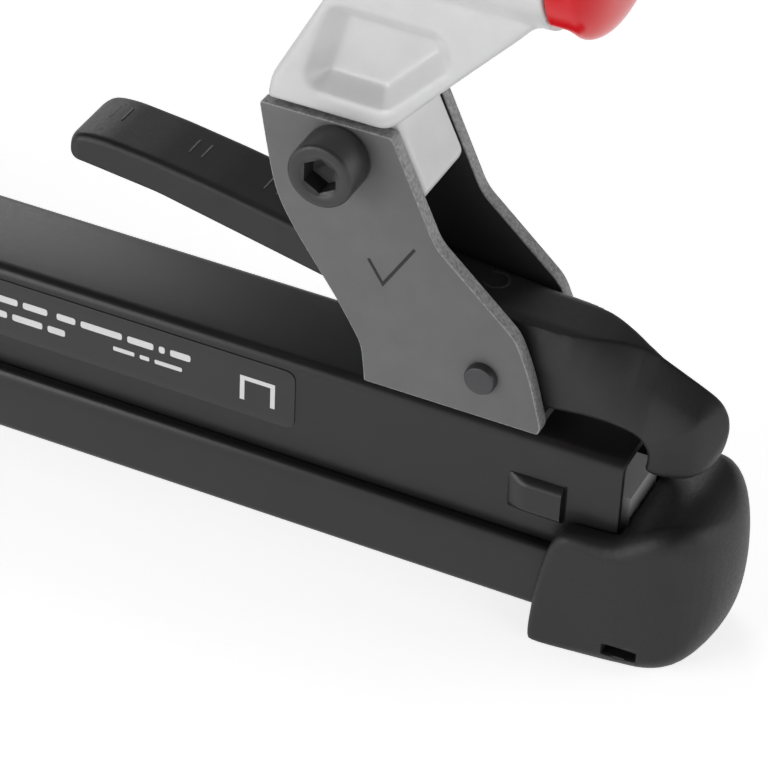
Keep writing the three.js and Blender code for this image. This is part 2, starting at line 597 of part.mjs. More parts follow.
// ---------------------------------------------------------------- handle
function handlePieces() {
  const wide = HANDLE_HALF_W + GAP;
  const high = HANDLE_R + GAP;
  const grip = cut(
    drawn("x", ellipse(0, HANDLE_Z, wide + GRIP_WALL, high + GRIP_WALL, 32),
      GRIP_FRONT_X, GRIP_REAR_X),
    drawn("x", ellipse(0, HANDLE_Z, wide, high, 32), GRIP_FRONT_X - 1, GRIP_REAR_X + 1),
  );
  part("handle_grip", grip, RUBBER, tool);

  // The red cap: a spigot in the handle's end, a round dome and the threaded air inlet.
  const r = HANDLE_R;
  const l = END_CAP_LENGTH;
  const spigot = trapR - GAP;
  const inletR = 6.6;
  const cap = turned([
    [inletR, -6.5], [spigot, -6.5], [spigot, 0], [r, 0], [r, l * 0.42], [r * 0.975, l * 0.6],
    [r * 0.9, l * 0.8], [r * 0.78, l * 0.93], [r * 0.62, l], [inletR, l],
  ], 36);
  const sideways = [0, Math.PI / 2, 0];
  const capX = HANDLE_END_X + GAP;
  part("handle_end_cap", cap, RED_GLOSS, tool, [capX, 0, HANDLE_Z], sideways);
  const bushing = cut(
    join(
      bar("z", 0, 0, inletR - GAP, -5, l + GAP + 0.1, 24),
      bar("z", 0, 0, 7.8, l + GAP, l + 2.6, 6),
    ),
    bar("z", 0, 0, 4.6, -6, l + 4, 24),
  );
  part("air_inlet_bushing", bushing, BRIGHT_STEEL, tool, [capX, 0, HANDLE_Z], sideways);
  const filter = turned([[0, -18], [4, -18], [5.6, -5.6], [4.8, -5.6], [3.4, -17], [0, -17]], 20);
  part("air_filter", filter, BRASS, tool, [capX, 0, HANDLE_Z], sideways);
  const ring = new THREE.TorusGeometry(trapR - 1.1, 0.8, 6, 28);
  part("handle_o_ring", ring, RUBBER, tool, [HANDLE_END_X - 7.2, 0, HANDLE_Z], sideways);
}
handlePieces();

// ---------------------------------------------------------------- bracket
// One plate of the bracket, measured from the bracket screw.
const PLATE_OUTLINE = [
  [-12.5, 5.2], [-10.9, -3.4], [-9.6, -8.9], [-7.2, -13.5], [-2.2, -20.5], [1.1, -25.1],
  [4.2, -30.2], [4.7, -31.8], [5.2, -35.7], [33, -35.7], [30.8, -27.6], [28.3, -21.9],
  [15.4, -10.4], [7.9, 5.3],
];
const BRACKET_BASE_T = 1.7;
const BRACKET_BASE_Z = CHANNEL_TOP_Z + GAP - SCREW_Z; // underside of the bracket's base

function bracketPieces() {
  const inner = BRACKET_HALF - PLATE_T;
  const plate = outline(PLATE_OUTLINE);
  const baseTop = BRACKET_BASE_Z + BRACKET_BASE_T;
  const body = cut(
    join(
      drawn("y", plate, inner, BRACKET_HALF),
      drawn("y", plate, -BRACKET_HALF, -inner),
      block(5.3, -inner - 1, BRACKET_BASE_Z, 32.6, inner + 1, baseTop),
    ),
    bar("y", 0, 0, SCREW_SHANK_R + GAP, -20, 20, 20),
    bar("y", PIN_X, PIN_Z, PIN_R + GAP, -20, 20, 20),
  );
  part("magazine_bracket", body, BLACK_OXIDE, bracket);

  const nutT = 5;
  const screw = capScrew(SCREW_SHANK_R, 5, 6, 2 * BRACKET_HALF + GAP + nutT + 1);
  const near = -BRACKET_HALF - GAP;
  part("bracket_screw", screw, BLACK_OXIDE, bracket, [0, near, 0], [Math.PI / 2, 0, 0]);
  const nut = cut(
    bar("y", 0, 0, 5.77, BRACKET_HALF + GAP, BRACKET_HALF + GAP + nutT, 6),
    bar("y", 0, 0, SCREW_SHANK_R + GAP, 0, 30, 20),
  );
  part("bracket_nut", nut, BLACK_OXIDE, bracket);
}
bracketPieces();

// ---------------------------------------------------------------- latch lever
// Side outline from the bracket screw: thumb arm, pivot boss, and the claw at the rear.
const LEVER_OUTLINE = [
  [-46.3, -15.4], [-45.2, -12.9], [-42.6, -11.4], [-39, -11.3], [-31, -12.1], [-21, -13.6],
  [-8, -16], [12, -20.6], [28, -21.3], [36, -21.5], [42, -22.3], [48, -23.6], [53, -25.8],
  [56.4, -28.6], [57.8, -31.4], [57.9, -34], [56.9, -37], [55, -39.4], [52.6, -40.5],
  [49.4, -40.5], [47.7, -40], [48, -38.4], [47.9, -36.4], [46.4, -34.6], [42.6, -33.5],
  [37.6, -33.6], [32, -34.3], [26, -34.4], [21.4, -34.4], [18.4, -33.2], [13, -28.4],
  [5, -25.2], [-10, -22], [-30, -17.8], [-42, -16.4], [-45, -16.6],
];
// The lever from above: straight sides, rounded ends.
const LEVER_PLAN = [
  [-46.4, -2.4], [-45, -4.8], [-41.8, -LEVER_HALF], [46, -LEVER_HALF], [52, -5.2], [56.4, -3],
  [58.3, -1], [58.3, 1], [56.4, 3], [52, 5.2], [46, LEVER_HALF], [-41.8, LEVER_HALF],
  [-45, 4.8], [-46.4, 2.4],
];
const SPRING_X = 9; // the latch spring stands in a pocket under the lever
const SPRING_POCKET_Z = -22.5;

function leverPieces() {
  const side = drawn("y", outline(LEVER_OUTLINE), -LEVER_HALF, LEVER_HALF);
  const plan = drawn("z", outline(LEVER_PLAN), -50, 0);
  const lever = cut(
    side.intersect(plan),
    bar("y", PIN_X, PIN_Z, PIN_R + GAP, -8, 8, 20),
    bar("z", SPRING_X, 0, 3.2, -40, SPRING_POCKET_Z, 20),
  );
  part("latch_lever", lever, BLACK_SATIN, bracket);
  const pinHalf = BRACKET_HALF + 1.4;
  const pin = bar("y", 0, 0, PIN_R, -pinHalf, pinHalf, 20);
  part("latch_pin", pin, BLACK_OXIDE, bracket, [PIN_X, 0, PIN_Z]);
  const springZ = BRACKET_BASE_Z + BRACKET_BASE_T + GAP;
  const spring = coil(2.4, 0.6, SPRING_POCKET_Z - GAP - springZ, 6);
  part("latch_spring", spring, SPRING_STEEL, bracket, [SPRING_X, 0, springZ]);
}
leverPieces();

// ---------------------------------------------------------------- upper channel
// Half sections are given for the right side and mirrored to the left.
const mirrored = (points) => [...points, ...points.map(([y, z]) => [-y, z]).reverse()];
const FLANGE_OUT = SLIDE_HALF - SHEET - GAP; // the channel's flanges run inside the slide
const FLANGE_Z = SLIDE_FLOOR_Z + GAP + 1.2;
const STOP_BUMP = [28.6, 37.4, -51.2, -44.6]; // lanced bump: rear and front X, low and high Z

function channelPieces() {
  const out = CHANNEL_HALF;
  const top = CHANNEL_TOP_Z;
  const inn = out - SHEET;
  const section = outline(mirrored([
    [out - 1.5, top], [out - 0.45, top - 0.45], [out, top - 1.5], [out, FLANGE_Z + SHEET],
    [FLANGE_OUT, FLANGE_Z + SHEET], [FLANGE_OUT, FLANGE_Z], [inn, FLANGE_Z], [inn, top - SHEET],
  ]));
  const [x0, x1, z0, z1] = STOP_BUMP;
  const bumpShape = outline([
    [out - 0.4, z0], [out + 0.6, z0 + 0.5], [out + 1.3, z0 + 2.4], [out + 1.2, z1 - 1.6],
    [out + 0.5, z1 - 0.3], [out - 0.4, z1],
  ]);
  const bump = drawn("x", bumpShape, x0, x1).translate([SCREW_X, 0, SCREW_Z]);
  const frontScrewX = MAGAZINE_FRONT_X - GAP + CHEEK_SCREW_X;
  const channel = cut(
    join(drawn("x", section, MAGAZINE_FRONT_X, CHANNEL_REAR_X), bump, bump.mirror([0, 1, 0])),
    bar("y", frontScrewX, CHEEK_SCREW_Z, CHEEK_SCREW_R + GAP, -20, 20, 12),
  );
  part("upper_channel", channel, BLACK_SATIN, tool);

  const guide = outline(mirrored([
    [GUIDE_HALF, GUIDE_TOP_Z], [GUIDE_HALF, LEG_Z + 0.3], [GUIDE_HALF - GUIDE_WALL, LEG_Z + 0.3],
    [GUIDE_HALF - GUIDE_WALL, GUIDE_TOP_Z - GUIDE_WALL],
  ]));
  const guideFront = STRIP_FRONT_X + 0.2;
  part("staple_guide", drawn("x", guide, guideFront, CHANNEL_REAR_X - 30), SPRING_STEEL, tool);

  const staples = outline(mirrored([
    [STAPLE_HALF, CROWN_Z], [STAPLE_HALF, LEG_Z], [STAPLE_HALF - STAPLE_WIRE, LEG_Z],
    [STAPLE_HALF - STAPLE_WIRE, CROWN_Z - STAPLE_WIRE],
  ]));
  const strip = drawn("x", staples, STRIP_FRONT_X, STRIP_FRONT_X + STRIP_LENGTH);
  part("staple_strip", strip, BRIGHT_STEEL, tool);

  const labelEnd = SCREW_X - 6.3;
  const label = drawn("y", roundedRectangle(labelEnd - 88, top - 12.7, labelEnd, top - 2.4, 1.6),
    -out - GAP - 0.3, -out - GAP);
  part("rating_label", label, LABEL_BLACK, tool);
}
channelPieces();

// ---------------------------------------------------------------- lower channel and feed
const BLOCK_X = 46.5; // front of the end cap's rear block, from the bracket screw
const LEDGE_Z = CHANNEL_TOP_Z - 12.6; // top of the end cap's side walls
const END_SCREW_X = SCREW_X + 41; // the screw that holds the end cap from below
const END_SCREW_R = 2;

function slidePieces() {
  const out = SLIDE_HALF;
  const top = SLIDE_TOP_Z;
  const edge = CHANNEL_HALF + GAP; // the shoulders turn in to the upper channel's walls
  const inn = out - SHEET;
  const section = outline(mirrored([
    [edge, top], [edge + 0.5, top - 0.15], [out - 0.5, top - 1.8], [out, top - 3.2],
    [out, SLIDE_BASE_Z + 0.8], [out - 0.8, SLIDE_BASE_Z],
  ]));
  const hollow = outline(mirrored([
    [edge, top + 1], [edge, top - SHEET], [inn - 0.3, top - 2.6], [inn, top - 3.8],
    [inn, SLIDE_FLOOR_Z],
  ]));
  const frontX = MAGAZINE_FRONT_X + 2;
  const rearX = CHANNEL_REAR_X - 0.8;
  const channel = cut(
    drawn("x", section, frontX, rearX),
    drawn("x", hollow, frontX - 1, rearX + 1),
    bar("z", END_SCREW_X, 0, END_SCREW_R + GAP, 0, 10, 16),
  );
  part("lower_channel", channel, BLACK_SATIN, tool);

  // The rail is folded sheet: staples straddle it and its top is slotted for the pusher.
  const wall = 1;
  const railBase = SLIDE_FLOOR_Z + GAP;
  const railSection = outline(mirrored([
    [RAIL_HALF, RAIL_TOP_Z], [RAIL_HALF, railBase], [RAIL_HALF - wall, railBase],
    [RAIL_HALF - wall, RAIL_TOP_Z - wall],
  ]));
  const railFront = STRIP_FRONT_X + 0.2;
  const slotHalf = 1.5;
  const rail = cut(
    drawn("x", railSection, railFront, RAIL_REAR_X),
    block(railFront + 6, -slotHalf, RAIL_TOP_Z - 3, RAIL_REAR_X - 8, slotHalf, RAIL_TOP_Z + 1),
  ).subtract(block(railFront - 1, -20, 0, MAGAZINE_FRONT_X + 1, 20, LEG_Z));
  part("staple_rail", rail, BRIGHT_STEEL, tool);

  const saddle = outline(mirrored([
    [STAPLE_HALF, CROWN_Z], [STAPLE_HALF, LEG_Z], [RAIL_HALF + GAP, LEG_Z],
    [RAIL_HALF + GAP, RAIL_TOP_Z + GAP],
  ]));
  const pusherLength = 16;
  const pusher = join(
    drawn("x", saddle, PUSHER_X, PUSHER_X + pusherLength),
    block(PUSHER_X + 9, -1.1, RAIL_TOP_Z - 8, PUSHER_X + pusherLength, 1.1, RAIL_TOP_Z + 0.5),
    bar("x", 0, RAIL_TOP_Z - 6.4, 3.4, PUSHER_X + 11, PUSHER_X + pusherLength, 16),
  );
  part("pusher", pusher, SPRING_STEEL, tool);

  const springX = PUSHER_X + pusherLength + GAP;
  const springRoom = RAIL_REAR_X - 2 - springX;
  const spring = coil(2.9, 0.6, springRoom, 15);
  const springAt = [springX, 0, RAIL_TOP_Z - 6.4];
  part("pusher_spring", spring, SPRING_STEEL, tool, springAt, [0, Math.PI / 2, 0]);
}
slidePieces();

// ---------------------------------------------------------------- magazine end cap
// Side outline of the moulded cap, from the bracket screw, with the floor at z = 0.
const END_OUTLINE = [
  [35.4, 0.8], [36.4, 0], [END_X - 5, 0], [END_X - 2.1, 3.6], [END_X - 0.5, 8.4],
  [END_X, LEDGE_Z - 7.6], [END_X - 0.4, LEDGE_Z - 3], [END_X - 1.6, LEDGE_Z + 0.8],
  [END_X - 3.9, LEDGE_Z + 3.4], [END_X - 7.1, LEDGE_Z + 4.6], [52, LEDGE_Z + 4],
  [49, LEDGE_Z + 2.2], [BLOCK_X, LEDGE_Z], [39.6, LEDGE_Z], [37.6, LEDGE_Z - 1.6],
  [36.4, LEDGE_Z - 5], [35.7, 11],
];
// The cap from above: square in front, rounded behind.
const END_PLAN = [
  [34, -END_HALF], [END_X - 10, -END_HALF], [END_X - 6, -END_HALF + 1.2],
  [END_X - 2.9, -END_HALF + 3.8], [END_X - 0.9, -END_HALF + 7.4], [END_X, -1.6],
];

function endCapPieces() {
  const x = SCREW_X;
  const side = drawn("y", outline(END_OUTLINE), -END_HALF, END_HALF);
  const farSide = END_PLAN.map(([u, v]) => [u, -v]).reverse();
  const plan = drawn("z", outline([...END_PLAN, ...farSide]), -1, 40);
  const slideHalf = SLIDE_HALF + GAP;
  const channelHalf = CHANNEL_HALF + GAP;
  const front = 30;
  const screwX = END_SCREW_X - x;
  const windowX = [46.2, 51.2];
  const window = block(windowX[0], -20, 2.4, windowX[1], -END_HALF + 2.4, 4.3);
  const cap = cut(
    side.intersect(plan),
    block(front, -slideHalf, SLIDE_BASE_Z - GAP, BLOCK_X, slideHalf, SLIDE_TOP_Z + GAP),
    block(front, -channelHalf, SLIDE_BASE_Z - GAP, BLOCK_X, channelHalf, 40),
    window,
    window.mirror([0, 1, 0]),
    bar("z", screwX, 0, END_SCREW_R + GAP, -1, 8, 16),
    bar("z", screwX, 0, 4, -1, 3, 20),
  ).translate([x, 0, 0]);
  part("magazine_end_cap", cap, BLACK_MOULDED, tool);

  // The catch is a bright steel block on the rail's end, just under the closed claw.
  const catchX = RAIL_REAR_X + GAP;
  const catchTop = SCREW_Z - 46;
  const tab = join(
    block(catchX, -RAIL_HALF, SLIDE_FLOOR_Z + GAP, x + BLOCK_X - GAP, RAIL_HALF, catchTop),
    block(x + 37, -3.2, SLIDE_FLOOR_Z + GAP, catchX + 1, 3.2, SLIDE_FLOOR_Z + GAP + 1.6),
  ).subtract(bar("z", END_SCREW_X, 0, END_SCREW_R + GAP, 0, 20, 16));
  part("latch_catch", tab, BRIGHT_STEEL, tool);
  const screw = capScrew(END_SCREW_R, 3.6, 2.4, 6.2);
  part("end_cap_screw", screw, BLACK_OXIDE, tool, [END_SCREW_X, 0, 3 - GAP], [Math.PI, 0, 0]);
}
endCapPieces();

export default tool;
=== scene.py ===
import json
import math

import bmesh
import bpy
import numpy as np
from mathutils import Matrix, Vector
from mathutils.geometry import tessellate_polygon

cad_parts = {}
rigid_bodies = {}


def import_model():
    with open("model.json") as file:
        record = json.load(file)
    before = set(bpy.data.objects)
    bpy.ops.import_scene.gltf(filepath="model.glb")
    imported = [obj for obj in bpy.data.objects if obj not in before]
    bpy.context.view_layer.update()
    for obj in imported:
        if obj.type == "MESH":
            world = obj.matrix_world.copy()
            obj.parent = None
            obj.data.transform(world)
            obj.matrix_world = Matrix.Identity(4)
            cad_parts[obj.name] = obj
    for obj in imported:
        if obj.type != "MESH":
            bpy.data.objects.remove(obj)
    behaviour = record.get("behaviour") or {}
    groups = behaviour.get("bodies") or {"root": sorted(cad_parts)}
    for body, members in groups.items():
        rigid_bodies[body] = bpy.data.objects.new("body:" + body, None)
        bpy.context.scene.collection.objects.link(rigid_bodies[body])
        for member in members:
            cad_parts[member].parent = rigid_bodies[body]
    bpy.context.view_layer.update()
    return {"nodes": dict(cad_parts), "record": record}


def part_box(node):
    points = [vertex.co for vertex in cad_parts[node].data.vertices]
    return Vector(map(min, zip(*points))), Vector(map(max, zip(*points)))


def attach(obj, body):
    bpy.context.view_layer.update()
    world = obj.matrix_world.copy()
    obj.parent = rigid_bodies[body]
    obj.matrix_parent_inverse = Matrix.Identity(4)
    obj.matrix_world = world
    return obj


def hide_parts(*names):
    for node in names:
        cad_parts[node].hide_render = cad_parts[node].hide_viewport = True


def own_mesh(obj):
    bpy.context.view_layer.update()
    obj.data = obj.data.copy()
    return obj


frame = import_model()


# ------------------------------------------------------------------ floor, light and camera
# A plain pale floor under a soft white sky, with large soft lamps round the tool. The camera
# stands behind the tool's left side and looks down on the latch at the magazine's rear end.
MM = 0.001  # sizes are in millimetres, and this turns them into metres
low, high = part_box("bracket_screw")
SCREW_X = (low.x + high.x) / 2 / MM  # axis of the bracket screw, which places the rear pieces
SCREW_Z = (low.z + high.z) / 2 / MM

FLOOR_HALF = 3.0  # in metres, like the other sizes of the floor, the lamps and the camera
FLOOR_DROP = 0.00015  # keeps the floor just clear of the feet
FLOOR_GLOW = 0.68  # keeps the floor pale under the dark ceiling
SKY_STRENGTH = 0.95
floor_mesh = bpy.data.meshes.new("floor")
corners = [(-FLOOR_HALF, -FLOOR_HALF), (FLOOR_HALF, -FLOOR_HALF)]
corners += [(FLOOR_HALF, FLOOR_HALF), (-FLOOR_HALF, FLOOR_HALF)]
floor_mesh.from_pydata([(x, y, -FLOOR_DROP) for x, y in corners], [], [(0, 1, 2, 3)])
floor = bpy.data.objects.new("floor", floor_mesh)
bpy.context.collection.objects.link(floor)
floor_finish = bpy.data.materials.new("pale_floor")
floor_finish.use_nodes = True
floor_shader = floor_finish.node_tree.nodes["Principled BSDF"]
floor_shader.inputs["Base Color"].default_value = (0.93, 0.93, 0.93, 1)
floor_shader.inputs["Roughness"].default_value = 0.9
floor_shader.inputs["Specular IOR Level"].default_value = 0.1
floor_shader.inputs["Emission Color"].default_value = (1, 1, 1, 1)
floor_shader.inputs["Emission Strength"].default_value = FLOOR_GLOW
floor_mesh.materials.append(floor_finish)

sky = bpy.data.worlds.new("soft_sky")
sky.use_nodes = True
sky_nodes, sky_links = sky.node_tree.nodes, sky.node_tree.links
toward = sky_nodes.new("ShaderNodeTexCoord")
apart = sky_nodes.new("ShaderNodeSeparateXYZ")
fade = sky_nodes.new("ShaderNodeValToRGB")  # bright walls all round under a darker ceiling
walls, ceiling = fade.color_ramp.elements
walls.position, ceiling.position = 0.12, 0.55
walls.color = (0.9, 0.9, 0.9, 1)
ceiling.color = (0.07, 0.07, 0.07, 1)
sky_links.new(toward.outputs["Generated"], apart.inputs["Vector"])
sky_links.new(apart.outputs["Z"], fade.inputs["Fac"])
sky_links.new(fade.outputs["Color"], sky_nodes["Background"].inputs["Color"])
sky_nodes["Background"].inputs["Strength"].default_value = SKY_STRENGTH
bpy.context.scene.world = sky
bpy.context.scene.view_settings.view_transform = "Standard"


def looking(azimuth, elevation, roll=0.0):
    """Right, up and back directions of something that looks at the tool: azimuth 0 stands at
    -Y and turns towards +X, elevation is above the floor, and roll turns it about its view."""
    a, e, r = (math.radians(angle) for angle in (azimuth, elevation, roll))
    back = np.array([math.sin(a) * math.cos(e), -math.cos(a) * math.cos(e), math.sin(e)])
    level = np.array([math.cos(a), math.sin(a), 0.0])
    upright = np.cross(back, level)
    right = level * math.cos(r) + upright * math.sin(r)
    return right, np.cross(back, right), back


def stand(name, data, aim, distance, azimuth, elevation, roll=0.0):
    """Puts a lamp or the camera at a distance from the point it looks at."""
    right, up, back = looking(azimuth, elevation, roll)
    where = np.array(aim) + back * distance
    matrix = np.eye(4)
    matrix[:3] = np.column_stack([right, up, back, where])
    holder = bpy.data.objects.new(name, data)
    holder.matrix_world = Matrix(matrix.tolist())
    bpy.context.collection.objects.link(holder)
    return holder


def softbox(name, size, power, azimuth, elevation, distance=1.1):
    """A square area lamp that looks at the latch end of the tool."""
    lamp = bpy.data.lights.new(name, "AREA")
    lamp.shape = "SQUARE"
    lamp.size = size
    lamp.energy = power
    stand(name, lamp, ((SCREW_X + 5) * MM, 0, 0.06), distance, azimuth, elevation)


softbox("key_lamp", 0.8, 6.5, -36, 12)
softbox("fill_lamp", 0.6, 1.2, 64, 12)
softbox("rear_lamp", 0.6, 2.4, 112, 16)
softbox("sheen_lamp", 0.5, 2.2, 222, 29)

lens = bpy.data.cameras.new("camera")
lens.lens = 168.408
lens.sensor_width = 36
lens.clip_start, lens.clip_end = 0.02, 20
aim = ((SCREW_X + 4.614) * MM, 0, 0.027627)
bpy.context.scene.camera = stand("camera", lens, aim, 0.52803, 23.673, 36.959, 2.876)


# ------------------------------------------------------------------ body casting
# One aluminium die casting, blasted and coated in a fine silver paint: the head, the handle
# with the air space in it, and the rear web whose lug stands between the bracket's plates.
# It is drawn in two lengths that meet under the grip.
def shown(name, mesh, finishes, smooth_angle=40.0):
    """A mesh as an object with its finishes, shaded smooth up to an angle between faces."""
    for material in finishes:
        mesh.materials.append(material)
    mesh.shade_smooth()
    mesh.set_sharp_from_angle(angle=math.radians(smooth_angle))
    piece = bpy.data.objects.new(name, mesh)
    bpy.context.collection.objects.link(piece)
    return piece


def skin(name, distance, low, high, step, finishes, slides=4, smooth_angle=50.0):
    """A closed surface where distance(x, y, z) is nought, in millimetres. Each cell of a grid
    that the surface crosses gets a point at the mean of the crossings on its edges, the four
    cells round a crossed edge are joined by a face, and every point then slides down the
    slope on to the surface."""
    spans = [np.arange(a - 2 * step, b + 2.5 * step, step) for a, b in zip(low, high)]
    grids = np.meshgrid(*spans, indexing="ij", sparse=True)
    field = np.broadcast_to(distance(*grids), [len(s) for s in spans])
    cells = [len(s) - 1 for s in spans]
    places, owners, quads = [], [], []
    for axis in range(3):
        count = field.shape[axis]
        start = np.take(field, range(count - 1), axis)
        end = np.take(field, range(1, count), axis)
        at = np.argwhere((start < 0) != (end < 0))
        first, last = start[tuple(at.T)], end[tuple(at.T)]
        point = at.astype(float)
        point[:, axis] += first / (first - last)
        step_b = np.eye(3, dtype=int)[(axis + 1) % 3]
        step_c = np.eye(3, dtype=int)[(axis + 2) % 3]
        around = [at, at - step_b, at - step_b - step_c, at - step_c]
        ids = np.stack([np.ravel_multi_index(tuple(cell.T), cells) for cell in around], 1)
        ids[first > 0] = ids[first > 0][:, ::-1]
        places.append(np.repeat(point, 4, 0))
        owners.append(ids.ravel())
        quads.append(ids)
    owners = np.concatenate(owners)
    places = np.concatenate(places)
    used, which = np.unique(owners, return_inverse=True)
    size = np.bincount(which)
    points = np.stack([np.bincount(which, places[:, k]) / size for k in range(3)], 1)
    points = points * step + np.array([s[0] for s in spans])
    faces = np.searchsorted(used, np.concatenate(quads))
    small = 0.02 * step
    for _ in range(slides):
        value = distance(*points.T)
        slope = np.stack(
            [
                (distance(*(points + e).T) - distance(*(points - e).T)) / (2 * small)
                for e in np.eye(3) * small
            ],
            1,
        )
        move = value / np.maximum((slope**2).sum(1), 0.1)
        points -= slope * np.clip(move, -step / 2, step / 2)[:, None]
    mesh = bpy.data.meshes.new(name)
    mesh.from_pydata((points * MM).tolist(), [], faces.tolist())
    mesh.update()
    return shown(name, mesh, finishes, smooth_angle)


def filed(corners, radius, steps=6):
    """An outline with its corners rounded: each corner becomes a short curve that leaves one
    side and meets the next at the radius, or a little under half of a short side."""
    here = np.array([c[:2] for c in corners], float)
    reach = np.array([c[2] if len(c) > 2 else radius for c in corners])
    before, after = np.roll(here, 1, 0) - here, np.roll(here, -1, 0) - here
    long_b, long_a = np.linalg.norm(before, axis=1), np.linalg.norm(after, axis=1)
    start = here + before / long_b[:, None] * np.minimum(reach, 0.48 * long_b)[:, None]
    end = here + after / long_a[:, None] * np.minimum(reach, 0.48 * long_a)[:, None]
    t = np.linspace(0, 1, steps)[None, :, None]
    curve = (1 - t) ** 2 * start[:, None] + 2 * t * (1 - t) * here[:, None] + t**2 * end[:, None]
    return curve.reshape(-1, 2)


def polygon(u, v, corners):
    """Distance from a flat outline, below nought inside it: the way to the nearest side, with
    the sign from how many sides lie to one hand."""
    nearest, inside = np.float64(1e9), False
    ends = np.roll(corners, -1, 0)
    for (au, av), (bu, bv) in zip(corners, ends):
        du, dv = bu - au, bv - av
        pu, pv = u - au, v - av
        t = np.clip((pu * du + pv * dv) / (du * du + dv * dv), 0, 1)
        nearest = np.minimum(nearest, (pu - t * du) ** 2 + (pv - t * dv) ** 2)
        level = dv if abs(dv) > 1e-9 else 1e-9
        inside = inside ^ (((av > v) != (bv > v)) & (pu < du * pv / level))
    return np.where(inside, -1, 1) * np.sqrt(nearest)


def met(a, b, r):
    """Where two solids overlap, with an edge of radius r between their faces."""
    corner = np.hypot(np.maximum(a + r, 0), np.maximum(b + r, 0))
    return np.minimum(np.maximum(a + r, b + r), 0) + corner - r


def joined(a, b, r):
    """Two solids run together with a fillet of about radius r."""
    near = np.maximum(r - np.abs(a - b), 0)
    return np.minimum(a, b) - near * near / (4 * r)


def less(a, b, r=0.05):
    """The first solid with the second cut out of it, and the cut's edge softened by r."""
    return -joined(-a, b, r)


def tablet(u, v, half_u, half_v, r):
    """Distance from a rectangle with corners of radius r, centred on nought."""
    over_u, over_v = np.abs(u) - half_u + r, np.abs(v) - half_v + r
    outside = np.hypot(np.maximum(over_u, 0), np.maximum(over_v, 0))
    return outside + np.minimum(np.maximum(over_u, over_v), 0) - r


BLACK_BELOW = 0.03  # a finish darker than this is a soft black one, which shines less


def finish(name, colour, rough, metallic=0.0, grain=2200.0, lift=0.012, mottle=0.06, spread=0.05):
    """A finish with its own surface: a fine grain lifts it by a few hundredths of a millimetre
    and varies its gloss, and a broad mottle varies its colour."""
    material = bpy.data.materials.new(name)
    material.use_nodes = True
    nodes, links = material.node_tree.nodes, material.node_tree.links
    shader = nodes["Principled BSDF"]
    shader.inputs["Metallic"].default_value = metallic
    shine = 0.38 if max(colour) < BLACK_BELOW else 0.5
    shader.inputs["Specular IOR Level"].default_value = shine
    place = nodes.new("ShaderNodeTexCoord")
    fine = nodes.new("ShaderNodeTexNoise")
    fine.inputs["Scale"].default_value = grain
    fine.inputs["Detail"].default_value = 3
    broad = nodes.new("ShaderNodeTexNoise")
    broad.inputs["Scale"].default_value = grain / 12
    broad.inputs["Detail"].default_value = 4
    for noise in (fine, broad):
        links.new(place.outputs["Object"], noise.inputs["Vector"])
    tint = nodes.new("ShaderNodeValToRGB")
    dark, pale = tint.color_ramp.elements
    dark.position, pale.position = 0.3, 0.7
    dark.color = (*(c * (1 - mottle) for c in colour), 1)
    pale.color = (*(min(1, c * (1 + mottle)) for c in colour), 1)
    links.new(broad.outputs["Fac"], tint.inputs["Fac"])
    links.new(tint.outputs["Color"], shader.inputs["Base Color"])
    gloss = nodes.new("ShaderNodeMapRange")
    gloss.inputs["From Min"].default_value = 0.3
    gloss.inputs["From Max"].default_value = 0.7
    gloss.inputs["To Min"].default_value = rough - spread
    gloss.inputs["To Max"].default_value = rough + spread
    links.new(fine.outputs["Fac"], gloss.inputs["Value"])
    links.new(gloss.outputs["Result"], shader.inputs["Roughness"])
    bump = nodes.new("ShaderNodeBump")
    bump.inputs["Strength"].default_value = 1.0
    bump.inputs["Distance"].default_value = lift * MM
    links.new(fine.outputs["Fac"], bump.inputs["Height"])
    links.new(bump.outputs["Normal"], shader.inputs["Normal"])
    return material


silver_paint = finish("silver_paint", (0.56, 0.56, 0.565), 0.42, 0.15, 2600, 0.02, 0.03)

low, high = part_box("cylinder_cap")
HEAD_X = (low.x + high.x) / 2 / MM  # axis of the piston, which places the front pieces
HEAD_R = (high.y - low.y) / 2 / MM
low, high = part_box("body_casting")
HEAD_BASE_Z, HEAD_TOP_Z = low.z / MM, high.z / MM
HANDLE_END_X = high.x / MM
HANDLE_Z = SCREW_Z + 40.5
HANDLE_R = 14.5
GRIP_X = [end.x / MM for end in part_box("handle_grip")]
low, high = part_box("trigger_pin")
TRIGGER_X, TRIGGER_Z = (low.x + high.x) / 2 / MM, (low.z + high.z) / 2 / MM
HANDLE_WALL = 5.5  # from the handle's outside to the air space
AIR_FROM = 16  # where the air space begins behind the piston's axis
WEB_HALF = 9.0
LUG_HALF = 6.4
WEB = [(-11.6, 5.8, 0.8), (6.6, 5.8), (8.6, 7.4), (14.6, 14.2), (25.6, 26.1), (28.7, 29.8)]
WEB += [(29.7, 40), (6, 42), (-1, 32), (-3.4, 24), (-11, 9.6)]
LUG = [(-9.4, 9), (7.4, 9), (8.1, 4.9), (12.4, -3.9), (11.6, -5.6), (8.6, -7.6), (3.4, -9.1)]
LUG += [(-2.2, -8.8), (-6.6, -6), (-9, -1.5)]
POCKET_FLOOR = [(-2.9, 11.9), (5.6, 11.7), (12.9, 19.4), (12.5, 20.9), (-0.3, 20.9)]
POCKET_DEPTH = 3.0
POCKET_WALL = 3.0  # width of the pocket's sloping side
web_side = filed(WEB, 1.2)
lug_side = filed(LUG, 1.0)


